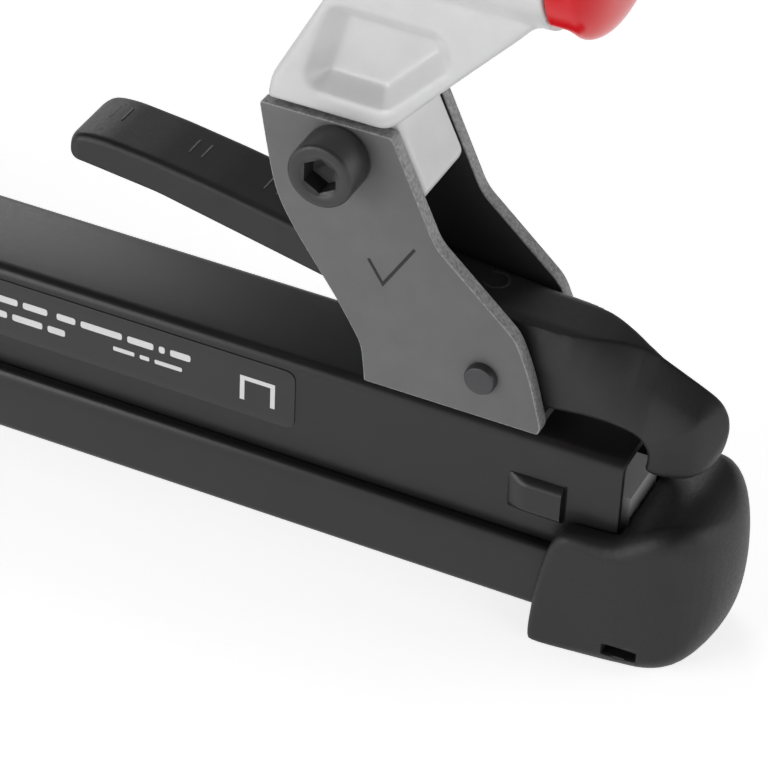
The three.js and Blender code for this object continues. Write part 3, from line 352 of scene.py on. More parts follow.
def handle_rear(x, y, z):
    """The round handle, the web under it and the lug, run together, less the air space, the
    end cap's counterbore and the screw hole. The web thins down a slope to the flat floor of a
    pocket on each side."""
    across = np.hypot(y, z - HANDLE_Z)
    wide = np.where((x > GRIP_X[0] - 1.5) & (x < GRIP_X[1] + 1.5), 12.5, HANDLE_R)
    oval = (np.hypot(y / wide, (z - HANDLE_Z) / HANDLE_R) - 1) * wide
    handle = met(oval, np.abs(x) - HANDLE_END_X, 0.5)
    u, v = x - SCREW_X, z - SCREW_Z
    rise = polygon(u, v, POCKET_FLOOR) / POCKET_WALL
    sunk = 0.5 + 0.5 * (np.hypot(rise, 0.12) - np.hypot(rise - 1, 0.12))
    half = WEB_HALF - POCKET_DEPTH * (1 - sunk)
    web = met(polygon(u, v, web_side), np.abs(y) - half, 1.2)
    lug = met(polygon(u, v, lug_side), np.abs(y) - LUG_HALF, 0.9)
    whole = joined(handle, joined(web, lug, 0.5), 0.9)
    bore = np.maximum(across - HANDLE_R + HANDLE_WALL, HEAD_X + AIR_FROM - x)
    counterbore = np.maximum(across - HANDLE_R + 2.6, HANDLE_END_X - 8 - x)
    hole = np.hypot(u, v) - 3.3
    return np.maximum(less(np.maximum(whole, -hole), bore), -counterbore)


def head(x, y, z):
    """The head's barrel, cone, square flange and foot run together with the handle's neck
    and the trigger's two ears, less the bores for the sleeve, the valve and the screws."""
    u = x - HEAD_X
    across = np.hypot(u, y)
    top, base = HEAD_TOP_Z, HEAD_BASE_Z
    wide = np.interp(z, [base + 10, base + 20], [HEAD_R - 8, HEAD_R - 1])
    barrel = met(across - wide, np.maximum(z - top + 12, base + 9 - z), 1.5)
    flange = met(tablet(u, y, HEAD_R, HEAD_R, 14), np.abs(z - top + 7.5) - 7.5, 0.9)
    foot = met(tablet(u - 2, y, 17, 13, 4), np.maximum(z - base - 16, base - z), 1.0)
    whole = joined(joined(barrel, flange, 1.5), foot, 5)
    whole = joined(whole, np.maximum(handle_rear(x, y, z), HEAD_X - x), 6)
    ear_side = [(-9, 14), (-6, -4), (0, -5.5), (5, -3), (9, 14)]
    ear = polygon(x - TRIGGER_X, z - TRIGGER_Z, ear_side)
    whole = joined(whole, met(ear, np.abs(np.abs(y) - 7.1) - 1.4, 0.7), 1.5)
    whole = np.maximum(whole, np.maximum(np.abs(y) - HEAD_R, -u - HEAD_R))
    reservoir = np.maximum(across - HEAD_R + 5, base + 38 - z)
    sleeve = np.maximum(across - HEAD_R + 7.2, base + 14 - z)
    slot = np.maximum(np.abs(u) - 1.2, np.abs(y) - 6.95)
    whole = less(less(whole, reservoir), np.minimum(sleeve, np.maximum(slot, z - base - 16)))
    screws = np.hypot(np.abs(u) - HEAD_R + 7.5, np.abs(y) - HEAD_R + 7.5) - 2.8
    valve = np.hypot(x - TRIGGER_X - 14, y) - 6.3
    pin = np.hypot(x - TRIGGER_X, z - TRIGGER_Z) - 1.8
    whole = np.maximum(whole, -np.maximum(screws, top - 14 - z))
    whole = np.maximum(whole, -np.maximum(valve, z - HANDLE_Z))
    bore = np.hypot(y, z - HANDLE_Z) - HANDLE_R + HANDLE_WALL
    bore = np.maximum(bore, HEAD_X + AIR_FROM - x)
    return np.maximum(np.maximum(whole, -pin), -bore)


SPLIT_X = -10.0  # where the two lengths meet, hidden under the grip


def casting_rear(x, y, z):
    """The rear length of the casting."""
    return np.maximum(handle_rear(x, y, z), SPLIT_X - x)


def casting_front(x, y, z):
    """The front length of the casting."""
    return np.maximum(head(x, y, z), x - SPLIT_X)


rear_step, front_step = ((0.55, 0.85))
rear = skin(
    "casting_rear",
    casting_rear,
    (SPLIT_X, -HANDLE_R, SCREW_Z - 9.5),
    (HANDLE_END_X, HANDLE_R, HANDLE_Z + HANDLE_R),
    rear_step,
    [silver_paint],
)
front = skin(
    "casting_front",
    casting_front,
    (HEAD_X - HEAD_R, -HEAD_R, HEAD_BASE_Z),
    (SPLIT_X, HEAD_R, HEAD_TOP_Z),
    front_step,
    [silver_paint],
)
for piece in (rear, front):
    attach(piece, "stapler_frame")
    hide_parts("body_casting")


# ------------------------------------------------------------------ magazine bracket
# A pressed steel channel with a black oxide finish: two plates joined by a strip over the
# magazine. The presses leave the sheared edges bare and rough, and a check mark in one side.
def outward(loop):
    """Unit normals of a closed flat loop, each across the chord of its two neighbours."""
    chord = np.roll(loop, -1, 0) - np.roll(loop, 1, 0)
    normal = np.stack([chord[:, 1], -chord[:, 0]], 1)
    normal /= np.maximum(np.linalg.norm(normal, axis=1), 1e-9)[:, None]
    area = np.sum(loop[:, 0] * np.roll(loop[:, 1], -1) - np.roll(loop[:, 0], -1) * loop[:, 1])
    return normal * np.sign(area)


AXES = {"x": [1, 2, 0], "y": [0, 2, 1], "z": [0, 1, 2]}


def wrapped(count, size):
    """The numbers of a run of closed rings' points, and the quads between the rings."""
    at = np.arange(count * size).reshape(count, size)
    beside = np.roll(at, -1, 1)
    quads = np.stack([at[:-1], beside[:-1], beside[1:], at[1:]], -1).reshape(-1, 4)
    return at, quads.tolist()


def slab(loop, axis, start, end, edge=0.2, bends=3):
    """Points and faces of a flat outline carried along an axis: rings that step in round each
    end with the edge's radius, sides between the rings, and both ends filled with triangles
    inside the outline."""
    loop = np.asarray(loop, float)
    normal = outward(loop)
    turn = np.linspace(0, math.pi / 2, bends)
    inset, deep = edge * (1 - np.sin(turn)), edge * (1 - np.cos(turn))
    insets = np.concatenate([inset, inset[::-1]])
    heights = np.concatenate([start + deep, end - deep[::-1]])
    rings = np.empty((len(insets), len(loop), 3))
    u, v, w = AXES[axis]
    flat = loop[None] - normal[None] * insets[:, None, None]
    rings[:, :, u], rings[:, :, v] = flat[:, :, 0], flat[:, :, 1]
    rings[:, :, w] = heights[:, None]
    at, sides = wrapped(len(insets), len(loop))
    outline = [Vector((*point, 0)) for point in flat[0].tolist()]
    cut = np.array(tessellate_polygon([outline]))
    return rings.reshape(-1, 3), sides + at[0][cut].tolist() + at[-1][cut].tolist()


def gathered(parts):
    """Several sets of points and faces as one set."""
    points, faces, start = [], [], 0
    for some, theirs in parts:
        points.append(some)
        faces += [[k + start for k in face] for face in theirs]
        start += len(some)
    return np.concatenate(points), faces


def closed(name, solid, finishes, offset=(0, 0, 0), smooth_angle=40.0, choose=None):
    """A solid from points and faces in millimetres, with its seams and poles merged and its
    faces turned outwards. Where there is more than one finish, choose picks a face's."""
    points, faces = solid
    mesh = bpy.data.meshes.new(name)
    mesh.from_pydata(((points + np.array(offset)) * MM).tolist(), [], faces)
    work = bmesh.new()
    work.from_mesh(mesh)
    bmesh.ops.remove_doubles(work, verts=work.verts, dist=1e-7)
    bmesh.ops.recalc_face_normals(work, faces=work.faces)
    if choose is not None:
        for face in work.faces:
            face.material_index = choose(face)
    work.to_mesh(mesh)
    work.free()
    return shown(name, mesh, finishes, smooth_angle)


black_oxide_plate = finish(
    "bracket_steel", (0.115, 0.115, 0.117), 0.48, 0.3, 3000, 0.010, 0.05, 0.06
)
bare_shear = finish("bare_sheared_edge", (0.24, 0.24, 0.242), 0.6, 0.3, 24000, 0.03, 0.35, 0.1)
PLATE = [(-12.5, 5.2), (-10.9, -3.4, 6), (-9.6, -8.9, 6), (-7.2, -13.5, 6), (-2.2, -20.5, 6)]
PLATE += [(1.1, -25.1, 4), (4.2, -30.2, 1), (4.7, -31.8, 1), (5.2, -35.7), (5.3, -37, 0.4)]
PLATE += [(32.6, -37, 0.4), (33, -35.7, 0.5), (30.8, -27.6, 6), (28.3, -21.9, 1.6)]
PLATE += [(15.4, -10.4, 1.6), (7.9, 5.3)]
PLATE_T = 2.3
BRACKET_HALF = 9.0
PIN_X, PIN_Z = 23.6, -29.8
plate_loop = filed(PLATE, 0.8)
inner = BRACKET_HALF - PLATE_T
plates = [
    slab(plate_loop, "y", -BRACKET_HALF, -inner, 0.22),
    slab(plate_loop, "y", inner, BRACKET_HALF, 0.22),
]
at_screw = (SCREW_X, 0, SCREW_Z)
# The plates' inner faces take near black as painted shade, for the shadow that falls between the
# two plates.
inner_painted_shade = finish("bracket_inside_painted_shade", (0.012, 0.012, 0.012), 0.6, 0.0, 3000, 0.01, 0.05, 0.05)


def plate_finish(face):
    """Bare metal round the sheared edge, and painted shade on the inner faces: near black for the
    shadow between the plates.
    """
    if len(face.verts) == 4:
        return 1
    return 2 if abs(face.calc_center_median().y) < (inner + 0.5) * MM else 0


bracket = closed(
    "magazine_bracket_plates",
    gathered(plates),
    [black_oxide_plate, bare_shear, inner_painted_shade],
    at_screw,
    choose=plate_finish,
)
strip_loop = filed([(5.6, -37), (32.4, -37), (32.4, -35.3), (5.6, -35.3)], 0.2)
strip = closed(
    "bracket_base_strip", slab(strip_loop, "y", -inner - 0.05, inner + 0.05, 0.02),
    [black_oxide_plate], at_screw,
)
CHECK_MARK = [(5.2, -15.6), (7.6, -19.2), (12.2, -11.8)]  # a plain tick, stamped


def engraved(points, width, depth=0.05):
    """A thin strip along a broken line with mitred corners, as a flat outline."""
    line = np.array(points, float)
    along = np.diff(line, axis=0)
    along /= np.linalg.norm(along, axis=1)[:, None]
    normal = np.stack([-along[:, 1], along[:, 0]], 1)
    miter = np.vstack([normal[:1], normal[:-1] + normal[1:], normal[-1:]])
    miter /= np.maximum((miter**2).sum(1, keepdims=True) ** 0.5, 1e-9)
    lean = (miter * np.vstack([normal, normal[-1:]])).sum(1)
    side = miter * (width / 2 / lean)[:, None]
    return np.concatenate([line + side, (line - side)[::-1]])


stamp_black = finish("stamp_shadow", (0.02, 0.02, 0.02), 0.6, 0.2, 3000, 0.01, 0.1, 0.05)
outer_face = -BRACKET_HALF
stamp = closed(
    "bracket_stamp",
    slab(engraved(CHECK_MARK, 0.5), "y", outer_face - 0.02, outer_face + 0.3, 0.01),
    [stamp_black],
    at_screw,
)
for piece in (bracket, strip, stamp):
    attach(piece, "stapler_frame")
    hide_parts("magazine_bracket")


# ------------------------------------------------------------------ bracket screw, nut and pin
# An M6 socket head cap screw in black oxide, with a hexagon nut on the far side, holds the
# bracket on the casting's lug. The latch pin is a plain hardened pin with broken edges.
def turned(profile, axis, sides=96):
    """Points and faces of a turned piece: each row of the profile gives a radius, a height
    and whether the ring is round or, for a socket or a nut, six-sided."""
    angle = np.linspace(0, 2 * math.pi, sides, endpoint=False)
    six = math.cos(math.pi / 6) / np.cos((angle + math.pi / 6) % (math.pi / 3) - math.pi / 6)
    rows = [(row + (0,))[:3] for row in profile]
    radius = np.array([r * (1 + hexed * (six / six.max() - 1)) for r, h, hexed in rows])
    height = np.array([h for r, h, hexed in rows])
    rings = np.empty((len(rows), sides, 3))
    u, v, w = AXES[axis]
    rings[:, :, u], rings[:, :, v] = radius * np.cos(angle), radius * np.sin(angle)
    rings[:, :, w] = height[:, None]
    return rings.reshape(-1, 3), wrapped(len(rows), sides)[1]


def cap_screw(head_r, head_h, shank_r, length, down=1.0, socket=0.56):
    """Profile of a socket head cap screw whose head stands against down, from its axis at the
    shank's tip, out round the head, and in again to the floor of its hexagon socket."""
    e = 0.08 * head_r
    key = socket * head_r
    rows = [(0, -length), (shank_r - 0.3, -length), (shank_r, -length + 0.3), (shank_r, 0)]
    rows += [(head_r - e / 2, 0), (head_r, e / 2), (head_r, head_h - 1.6 * e)]
    rows += [(head_r - 0.3 * e, head_h - 0.7 * e), (head_r - e, head_h - 0.15 * e)]
    rows += [(head_r - 1.7 * e, head_h), (key * 1.16, head_h), (key * 1.1, head_h - 0.12)]
    rows += [(key, head_h - 0.4, 1), (key, head_h * 0.45, 1), (0.5 * key, head_h * 0.36, 1)]
    rows += [(0, head_h * 0.36, 1)]
    return [(r, -h * down, *rest) for r, h, *rest in rows]


black_oxide = finish("black_oxide", (0.035, 0.035, 0.037), 0.42, 0.35, 2600, 0.012, 0.1, 0.08)
near = -BRACKET_HALF - 0.3
screw = closed(
    "bracket_screw_m6",
    turned(cap_screw(5.0, 6.0, 3.0, 24.0), "y"),
    [black_oxide],
    (SCREW_X, near, SCREW_Z),
)
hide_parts("bracket_screw")
far = BRACKET_HALF + 0.3
nut_rows = [(3.0, far), (5.0, far), (5.77, far + 0.5, 1), (5.77, far + 4.5, 1), (5.0, far + 5)]
nut_rows += [(3.4, far + 5), (3.0, far + 4.6), (3.0, far)]
nut = closed("bracket_nut_m6", turned(nut_rows, "y"), [black_oxide], (SCREW_X, 0, SCREW_Z))
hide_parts("bracket_nut")
end = BRACKET_HALF + 1.4
pin_rows = [(0, -end), (1.9, -end), (2.2, -end + 0.1), (2.4, -end + 0.45), (2.4, end - 0.45)]
pin_rows += [(2.2, end - 0.1), (1.9, end), (0, end)]
pin = closed(
    "latch_pin_turned",
    turned(pin_rows, "y"),
    [finish("pin_oxide", (0.06, 0.06, 0.063), 0.4, 0.6, 2600, 0.01, 0.1, 0.08)],
    (SCREW_X + PIN_X, 0, SCREW_Z + PIN_Z),
)
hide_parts("latch_pin")
for piece in (screw, nut, pin):
    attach(piece, "stapler_frame")


# ------------------------------------------------------------------ latch lever
# A forged lever in a fine matte black coating, turning on the latch pin: a thumb arm forward,
# a boss between the plates, and a claw that hooks over the lower magazine's catch. The flat
# back of the claw narrows to a ridge, and its flanks fall away from it on both sides.
LEVER = [(-45.4, -14.6), (-44.7, -12.7), (-42.6, -11.5), (-39, -11.3), (-31, -12.1)]
LEVER += [(-21, -13.6), (-8, -16), (12, -20.6), (28, -21.3), (36, -21.6), (41, -22)]
LEVER += [(44.3, -22.8), (48, -24.5), (53, -26.8), (56.3, -28.5), (57.6, -30.6), (57.9, -33)]
LEVER += [(57.6, -35.4), (56.9, -38), (55.9, -39.9), (53.6, -40.7), (49.4, -40.7)]
LEVER += [(47.7, -40), (48, -38.4), (47.9, -36.4), (46.4, -34.6), (42.6, -33.5), (37.6, -33.6)]
LEVER += [(32, -34.3), (26, -34.4), (21.4, -34.4), (18.4, -33.2), (13, -28.4), (5, -25.2)]
LEVER += [(-10, -22), (-30, -17.8), (-42, -16.4), (-44.4, -16.2)]
LEVER_HALF = 6.2
RIDGE_SLOPE, TIP_SLOPE = 1.1, 0.72  # how fast the flanks fall from the flat back's edge
FLAT_FROM = [5, 20, 31, 35, 38, 41, 44.5, 47]  # places along the lever
FLAT_HALF = [6.6, 5, 4.8, 4.3, 3.4, 2.1, 0.6, 0]  # the flat back's half width at each
NOSE = [(58, -36), (57.6, -60), (-45.4, -60)]  # the back, carried down past it
HEEL = [(57.6, -36.4), (59, -32), (60, -28), (60, 20), (-45.4, 20), (-45.4, -14.8)]
lever_back = filed([row[:2] for row in LEVER[:17]] + NOSE, 1.6)
under = [row[:2] for row in LEVER[18:]]
lever_under = filed(HEEL[-1:] + under[::-1] + HEEL[:-1], 1.6)


def lever_solid(x, y, z):
    """The underside met with the flanks and the back. The flanks' plan has round corners at
    the thumb end. The back's depth grows in step with the way out from its flat."""
    u, v = x - SCREW_X, z - SCREW_Z
    flat = np.interp(u, FLAT_FROM, FLAT_HALF)
    out = np.maximum(np.abs(y) - flat, 0)
    slope = np.interp(u, [46, 54], [RIDGE_SLOPE, TIP_SLOPE])
    fall = slope * (np.hypot(out, 0.12) - 0.12) + 0.05 * out * out
    back = (polygon(u, v, lever_back) + fall) / np.where(fall > 0, math.hypot(1, RIDGE_SLOPE), 1)
    flank = met(tablet(u - 20, y, 65.4, LEVER_HALF, 2.6), back, np.interp(u, [8, 28], [1.1, 3.2]))
    return met(polygon(u, v, lever_under), flank, np.interp(u, [36, 50], [0.7, 1.0]))


lever_black = finish("lever_black", (0.013, 0.013, 0.0135), 0.45, 0.0, 2800, 0.014, 0.1, 0.07)
lever_step = 0.34
lever = skin(
    "latch_lever_forged",
    lever_solid,
    (SCREW_X - 46.4, -LEVER_HALF, SCREW_Z - 40.8),
    (SCREW_X + 58, LEVER_HALF, SCREW_Z - 11.2),
    lever_step,
    [lever_black],
    smooth_angle=60,
)
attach(lever, "latch")
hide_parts("latch_lever")

RIBS = [(-40, 1.6), (-26.4, 0.6), (-14, 0.2)]  # middles of three pairs of grip marks, X and Y
RING_AT = (20.3, 2.0)
top_x, top_z = np.array([row[:2] for row in LEVER[2:9]]).T


def raised_line(x, y, half=1.8, wide=0.13, proud=0.05):
    """A thin raised line across the lever's top, which lies level with the slope there."""
    z = np.interp(x, top_x, top_z)
    loop = [(x - wide, z - 0.4), (x + wide, z - 0.4), (x + wide, z + proud), (x - wide, z + proud)]
    return slab(loop, "y", y - half, y + half, 0.04)


rib_parts = [raised_line(x + shift, y) for x, y in RIBS for shift in (-1, 1)]
ring_rows = [(1.75, -0.4), (2.1, -0.4), (2.1, 0.03), (2.0, 0.06), (1.85, 0.06), (1.75, 0.03)]
ring, ring_faces = turned(ring_rows + ring_rows[:1], "z", 48)
ring = ring + np.array([RING_AT[0], RING_AT[1], np.interp(RING_AT[0], top_x, top_z)])
rib_parts.append((ring, ring_faces))
worn_black = finish("lever_mark_edges", (0.04, 0.04, 0.04), 0.4, 0.2, 2400, 0.01, 0.2, 0.06)
marks = closed("latch_lever_marks", gathered(rib_parts), [worn_black], at_screw)
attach(marks, "latch")
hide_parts("latch_lever")


# ------------------------------------------------------------------ upper channel
# A long folded steel channel, satin black all over, that guides the staples. Behind the
# bracket each side has a short lanced bump that stops the sliding lower channel.
low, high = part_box("upper_channel")
CHANNEL_X = [low.x / MM, high.x / MM]
CHANNEL_TOP_Z = high.z / MM
CHANNEL_HALF = 8.9
SHEET = 1.2
FLANGE_Z = low.z / MM


def both_sides(half):
    """A half section's points and their mirror images, as one closed outline."""
    return list(half) + [(-row[0], *row[1:]) for row in reversed(half) if row[0]]


top = CHANNEL_TOP_Z
wall = CHANNEL_HALF - SHEET
section = [(0, top, 8.5), (CHANNEL_HALF, top - 0.35, 1.9), (CHANNEL_HALF, FLANGE_Z + SHEET, 0.5)]
section += [(9.9, FLANGE_Z + SHEET, 0.3), (9.9, FLANGE_Z, 0.3), (wall, FLANGE_Z, 0.5)]
section += [(wall, top - SHEET - 0.35, 0.8)]
satin_black = finish("satin_black", (0.014, 0.014, 0.0145), 0.34, 0.0, 2400, 0.006, 0.08, 0.04)
channel_loop = filed(both_sides(section), 0.3, 8)
channel_body = slab(channel_loop, "x", *CHANNEL_X, 0.25)
channel = closed("upper_channel_folded", channel_body, [satin_black], smooth_angle=30)
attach(channel, "stapler_frame")
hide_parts("upper_channel")

BUMP_X = (28.6, 37.4)
BUMP_Z = (-51.2, -44.6)
BUMP_H = 1.3


def lanced(side):
    """Points and faces of a lanced bump: it swells from the wall as a smooth rise from the
    front, top and bottom, and ends square at the slot cut behind it."""
    s, t = np.meshgrid(np.linspace(0, 1, 40), np.linspace(0, 1, 32), indexing="ij")
    rise = np.sin(np.minimum(s / 0.42, 1) * math.pi / 2) ** 0.8
    across = np.clip(np.minimum(t, 1 - t) / 0.22, 0, 1)
    swell = BUMP_H * rise * np.sin(across * math.pi / 2) ** 0.9
    x = BUMP_X[0] + (BUMP_X[1] - BUMP_X[0]) * s
    z = BUMP_Z[0] + (BUMP_Z[1] - BUMP_Z[0]) * t
    outer = np.stack([x, side * (CHANNEL_HALF - 0.3 + 0.3 * np.sign(swell) + swell), z], -1)
    back = np.stack([x, np.full_like(x, side * (CHANNEL_HALF - 0.6)), z], -1)
    rows, cols = x.shape
    at = np.arange(rows * cols).reshape(rows, cols)
    front = np.stack([at[:-1, :-1], at[1:, :-1], at[1:, 1:], at[:-1, 1:]], -1).reshape(-1, 4)
    rim = np.concatenate([at[0], at[1:, -1], at[-1, -2::-1], at[-2:0:-1, 0]])
    sides = np.stack([rim, np.roll(rim, -1), np.roll(rim, -1) + rows * cols, rim + rows * cols], 1)
    rear = front[:, ::-1] + rows * cols
    points = np.concatenate([outer.reshape(-1, 3), back.reshape(-1, 3)])
    return points, np.concatenate([front, sides, rear]).tolist()


slot_black = finish("slot_shadow", (0.002, 0.002, 0.002), 0.8, 0.0, 2400, 0.004, 0.05, 0.02)
slot_loop = [(BUMP_X[1], BUMP_Z[0] - 0.2), (BUMP_X[1] + 0.45, BUMP_Z[0] - 0.2)]
slot_loop += [(BUMP_X[1] + 0.45, BUMP_Z[1] + 0.2), (BUMP_X[1], BUMP_Z[1] + 0.2)]
for side, where in ((-1, "left"), (1, "right")):
    depths = sorted((side * (CHANNEL_HALF - 0.4), side * (CHANNEL_HALF + 0.02)))
    slot_body = slab(slot_loop, "y", *depths, 0.01)
    gap = closed(f"stop_slot_{where}", slot_body, [slot_black], at_screw)
    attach(gap, "stapler_frame")
    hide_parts("upper_channel")
    bump = closed(f"stop_bump_{where}", lanced(side), [satin_black], at_screw, 35)
    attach(bump, "stapler_frame")
    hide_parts("upper_channel")


# ------------------------------------------------------------------ rating label
# A black vinyl label with rounded corners on the channel's left side. Plain white bars and a
# small staple sign stand where such a label has its printing.
vinyl = finish("label_vinyl", (0.024, 0.024, 0.025), 0.32, 0.0, 1800, 0.001, 0.02, 0.01)
print_white = finish("label_print_white", (0.6, 0.6, 0.6), 0.4, 0.0, 2600, 0.002, 0.03, 0.03)
low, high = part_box("rating_label")
x0, x1, z0, z1 = low.x / MM, high.x / MM + 0.8, low.z / MM, high.z / MM
label_loop = filed([(x0, z0), (x1, z0), (x1, z1), (x0, z1)], 1.8, 10)
surface_y = -CHANNEL_HALF - 0.02
label_body = slab(label_loop, "y", surface_y - 0.18, surface_y, 0.06)
label = closed("rating_label_vinyl", label_body, [vinyl])
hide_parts("rating_label")


def bar(x, z, long, tall):
    """Points and faces of a printed bar with round ends, a hair proud of the label."""
    loop = filed([(x, z), (x + long, z), (x + long, z + tall), (x, z + tall)], tall * 0.3, 3)
    return slab(loop, "y", surface_y - 0.21, surface_y - 0.17, 0.005, 2)


ROWS = [  # right end, lengths of the bars from right to left, middle and height
    (x1 - 17.2, (3.4, 1.0, 4.4, 7.0, 3.2), z1 - 3.4, 1.2),
    (x1 - 41.4, (4.2, 6.4, 2.6, 5.2), z1 - 3.4, 1.2),
    (x1 - 18.6, (4.6, 1.6, 3.6), z1 - 5.9, 0.75),
    (x1 - 38.4, (3.0, 5.2, 4.4), z1 - 6.2, 1.2),
    (x1 - 60, (8.0, 3.4, 6.0), z1 - 6.2, 1.2),
]
bars = []
for right, lengths, middle, tall in ROWS:
    for long in lengths:
        bars.append(bar(right - long, middle - tall / 2, long, tall))
        right -= long + 0.9
sign_x, sign_z, sign = x1 - 8.6, z1 - 7.6, 4.0
staple = engraved(
    [(sign_x, sign_z), (sign_x, sign_z + sign), (sign_x + 5, sign_z + sign), (sign_x + 5, sign_z)],
    0.75,
)
bars.append(slab(staple, "y", surface_y - 0.21, surface_y - 0.17, 0.005, 2))
printing = closed("rating_label_bars", gathered(bars), [print_white])
for piece in (label, printing):
    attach(piece, "stapler_frame")


# ------------------------------------------------------------------ lower channel
# The sliding half of the magazine: a wider satin black channel whose round shoulders turn in
# to the upper channel's walls.
low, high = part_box("lower_channel")
SLIDE_X = [low.x / MM, high.x / MM]
SLIDE_TOP_Z, SLIDE_BASE_Z = high.z / MM, low.z / MM
SLIDE_HALF = 11.4
edge, top, base = CHANNEL_HALF + 0.3, SLIDE_TOP_Z, SLIDE_BASE_Z
inside = SLIDE_HALF - SHEET
section = [(edge, top - SHEET, 0.1), (edge, top, 0.35), (SLIDE_HALF, top, 3.0)]
section += [(SLIDE_HALF, base, 1.4)]
hollow = [(inside, base + SHEET, 0.5), (inside, top - SHEET, 1.9)]
loop = [*section, *[(-row[0], *row[1:]) for row in reversed(section)]]
loop += [(-row[0], *row[1:]) for row in reversed(hollow)] + hollow
slide_body = slab(filed(loop, 0.3, 10), "x", *SLIDE_X, 0.2)
slide = closed("lower_channel_folded", slide_body, [satin_black], smooth_angle=30)
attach(slide, "lower_magazine")
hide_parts("lower_channel")


# ------------------------------------------------------------------ magazine end cap
# A bulbous cap moulded in black nylon that closes the lower channel and serves as its pull,
# with a notch in front for the claw and a small slot low in each side.
SEAT_FLOOR = 5.2  # inside floor of the cap, under both channels
END_SIDE = [(34.6, 0.9), (35.5, 0), (53, 0), (57.4, 1.1), (60.4, 4), (62.2, 8), (63, 11.4)]
END_SIDE += [(63.3, 14.6), (63, 18), (62, 21.4), (60.4, 24), (58, 25.8), (55.2, 26.5)]
END_SIDE += [(52, 25.7), (49, 23.8), (46.5, 21.8), (39.8, 21.6), (38.2, 20.8), (37, 18.6)]
END_SIDE += [(36.2, 15.6), (35.3, 10)]
END_PLAN = [(32, -13), (49, -13), (54, -12.3), (58, -10.2), (61, -6.6), (62.8, -2.8), (63.2, 0)]
END_PLAN += [(62.8, 2.8), (61, 6.6), (58, 10.2), (54, 12.3), (49, 13), (32, 13)]
end_side = filed(END_SIDE, 3.0, 4)
end_plan = filed(END_PLAN, 3.0, 4)


def end_cap(x, y, z):
    """The side outline and the plan met with a soft edge that grows broader towards the rear,
    less the seat of the two channels, the claw's notch and the side slots."""
    u = x - SCREW_X
    soft = np.clip(0.9 + (u - 35) * 0.16, 0.9, 3.2)
    body = met(polygon(u, z, end_side), polygon(u, y, end_plan), soft)
    seat = np.maximum(np.abs(y) - SLIDE_HALF - 0.3, z - SLIDE_TOP_Z - 0.3)
    notch = np.abs(y) - CHANNEL_HALF - 0.3
    cut = np.maximum(np.minimum(seat, notch), np.maximum(SEAT_FLOOR - z, u - 46.5))
    slot = np.maximum(np.abs(u - 49.2) - 2.5, np.abs(z - 3.45) - 0.9)
    slot = np.maximum(slot, 13 - 2.4 - np.abs(y))
    screw = np.maximum(np.hypot(u - 41, y) - 4, z - 3)
    return np.maximum(np.maximum(less(body, cut, 0.5), -slot), -screw)


black_nylon = finish("black_nylon", (0.0105, 0.0105, 0.011), 0.5, 0.0, 2300, 0.018, 0.08, 0.06)
end_piece = skin(
    "magazine_end_cap_moulded",
    end_cap,
    (SCREW_X + 33.8, -13.2, 0),
    (SCREW_X + 62.5, 13.2, 26.4),
    0.38,
    [black_nylon],
    smooth_angle=42,
)
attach(end_piece, "lower_magazine")
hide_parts("magazine_end_cap")


# ------------------------------------------------------------------ red handle cap
# A glossy red moulding on the handle's end round the brass air inlet, with shallow flats round
# its front edge.
red_gloss = finish("red_gloss", (0.52, 0.003, 0.008), 0.2, 0.0, 900, 0.001, 0.05, 0.02)
red_gloss.node_tree.nodes["Principled BSDF"].inputs["Specular IOR Level"].default_value = 0.3
low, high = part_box("handle_end_cap")
cap_x = HANDLE_END_X + 0.3
CAP_L = high.x / MM - cap_x
INLET_R = 6.6
DOME_R, DOME_L = 8.0, 4.0  # how far the rounded end reaches in from the side, and along
sweep = np.linspace(0, math.acos((INLET_R - HANDLE_R + DOME_R) / DOME_R), 26)
dome = [
    (HANDLE_R - DOME_R + DOME_R * math.cos(t), CAP_L - DOME_L + DOME_L * math.sin(t))
    for t in sweep
]
cap_rows = [(INLET_R, 0), (HANDLE_R - 0.25, 0), (HANDLE_R, 0.25)]
cap_rows += [(HANDLE_R, h) for h in np.arange(0.6, CAP_L - DOME_L, 0.35)] + dome + [(INLET_R, 0)]
points, faces = turned(cap_rows, "x", 180)
FLATS = 6
FLAT_AT = 238  # turn of the first flat round the handle, in degrees
FLAT_R = HANDLE_R * 0.955  # from the handle's axis to the middle of a flat
FLAT_L = 2.4  # how far the flats reach before they run out
span = 2 * math.pi / FLATS
across = np.hypot(points[:, 1], points[:, 2])
around = np.arctan2(points[:, 2], points[:, 1])
off = (around + span / 2 - math.radians(FLAT_AT)) % span - span / 2
limit = (FLAT_R + np.maximum(points[:, 0] - FLAT_L, 0) ** 2 * 0.4) / np.cos(off)
shrink = np.where(across > INLET_R + 0.5, np.minimum(1, limit / np.maximum(across, 1e-6)), 1)
points[:, 1:] *= shrink[:, None]
red_cap = closed("handle_end_cap_moulded", (points, faces), [red_gloss], (cap_x, 0, HANDLE_Z), 28)
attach(red_cap, "stapler_frame")
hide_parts("handle_end_cap")


# ------------------------------------------------------------------ rubber grip
# An oval sleeve of black nitrile rubber pulled over the handle, ribbed all along.
rubber = finish("black_rubber", (0.017, 0.017, 0.0175), 0.72, 0.0, 1500, 0.03, 0.12, 0.08)
RIB_PITCH = 3.2
RIB_DEEP = 0.55
GRIP_HALF_Y, GRIP_HALF_Z = 12.8, HANDLE_R + 0.3
GRIP_WALL = 3.5
run = np.linspace(GRIP_X[0], GRIP_X[1], 400)
from_end = np.minimum(run - GRIP_X[0], GRIP_X[1] - run)
ribbed = RIB_DEEP * np.clip((from_end - 3) / 1.5, 0, 1)
wave = 0.5 - 0.5 * np.cos(2 * math.pi * (run - GRIP_X[0]) / RIB_PITCH)
round_end = 1.2 - np.sqrt(np.clip(1.2**2 - np.clip(1.2 - from_end, 0, 1.2) ** 2, 0, None))
outer = GRIP_WALL - ribbed * wave**3 - round_end
path_x = np.concatenate([run, run[::-1]])
path_out = np.concatenate([outer, np.zeros_like(run)])
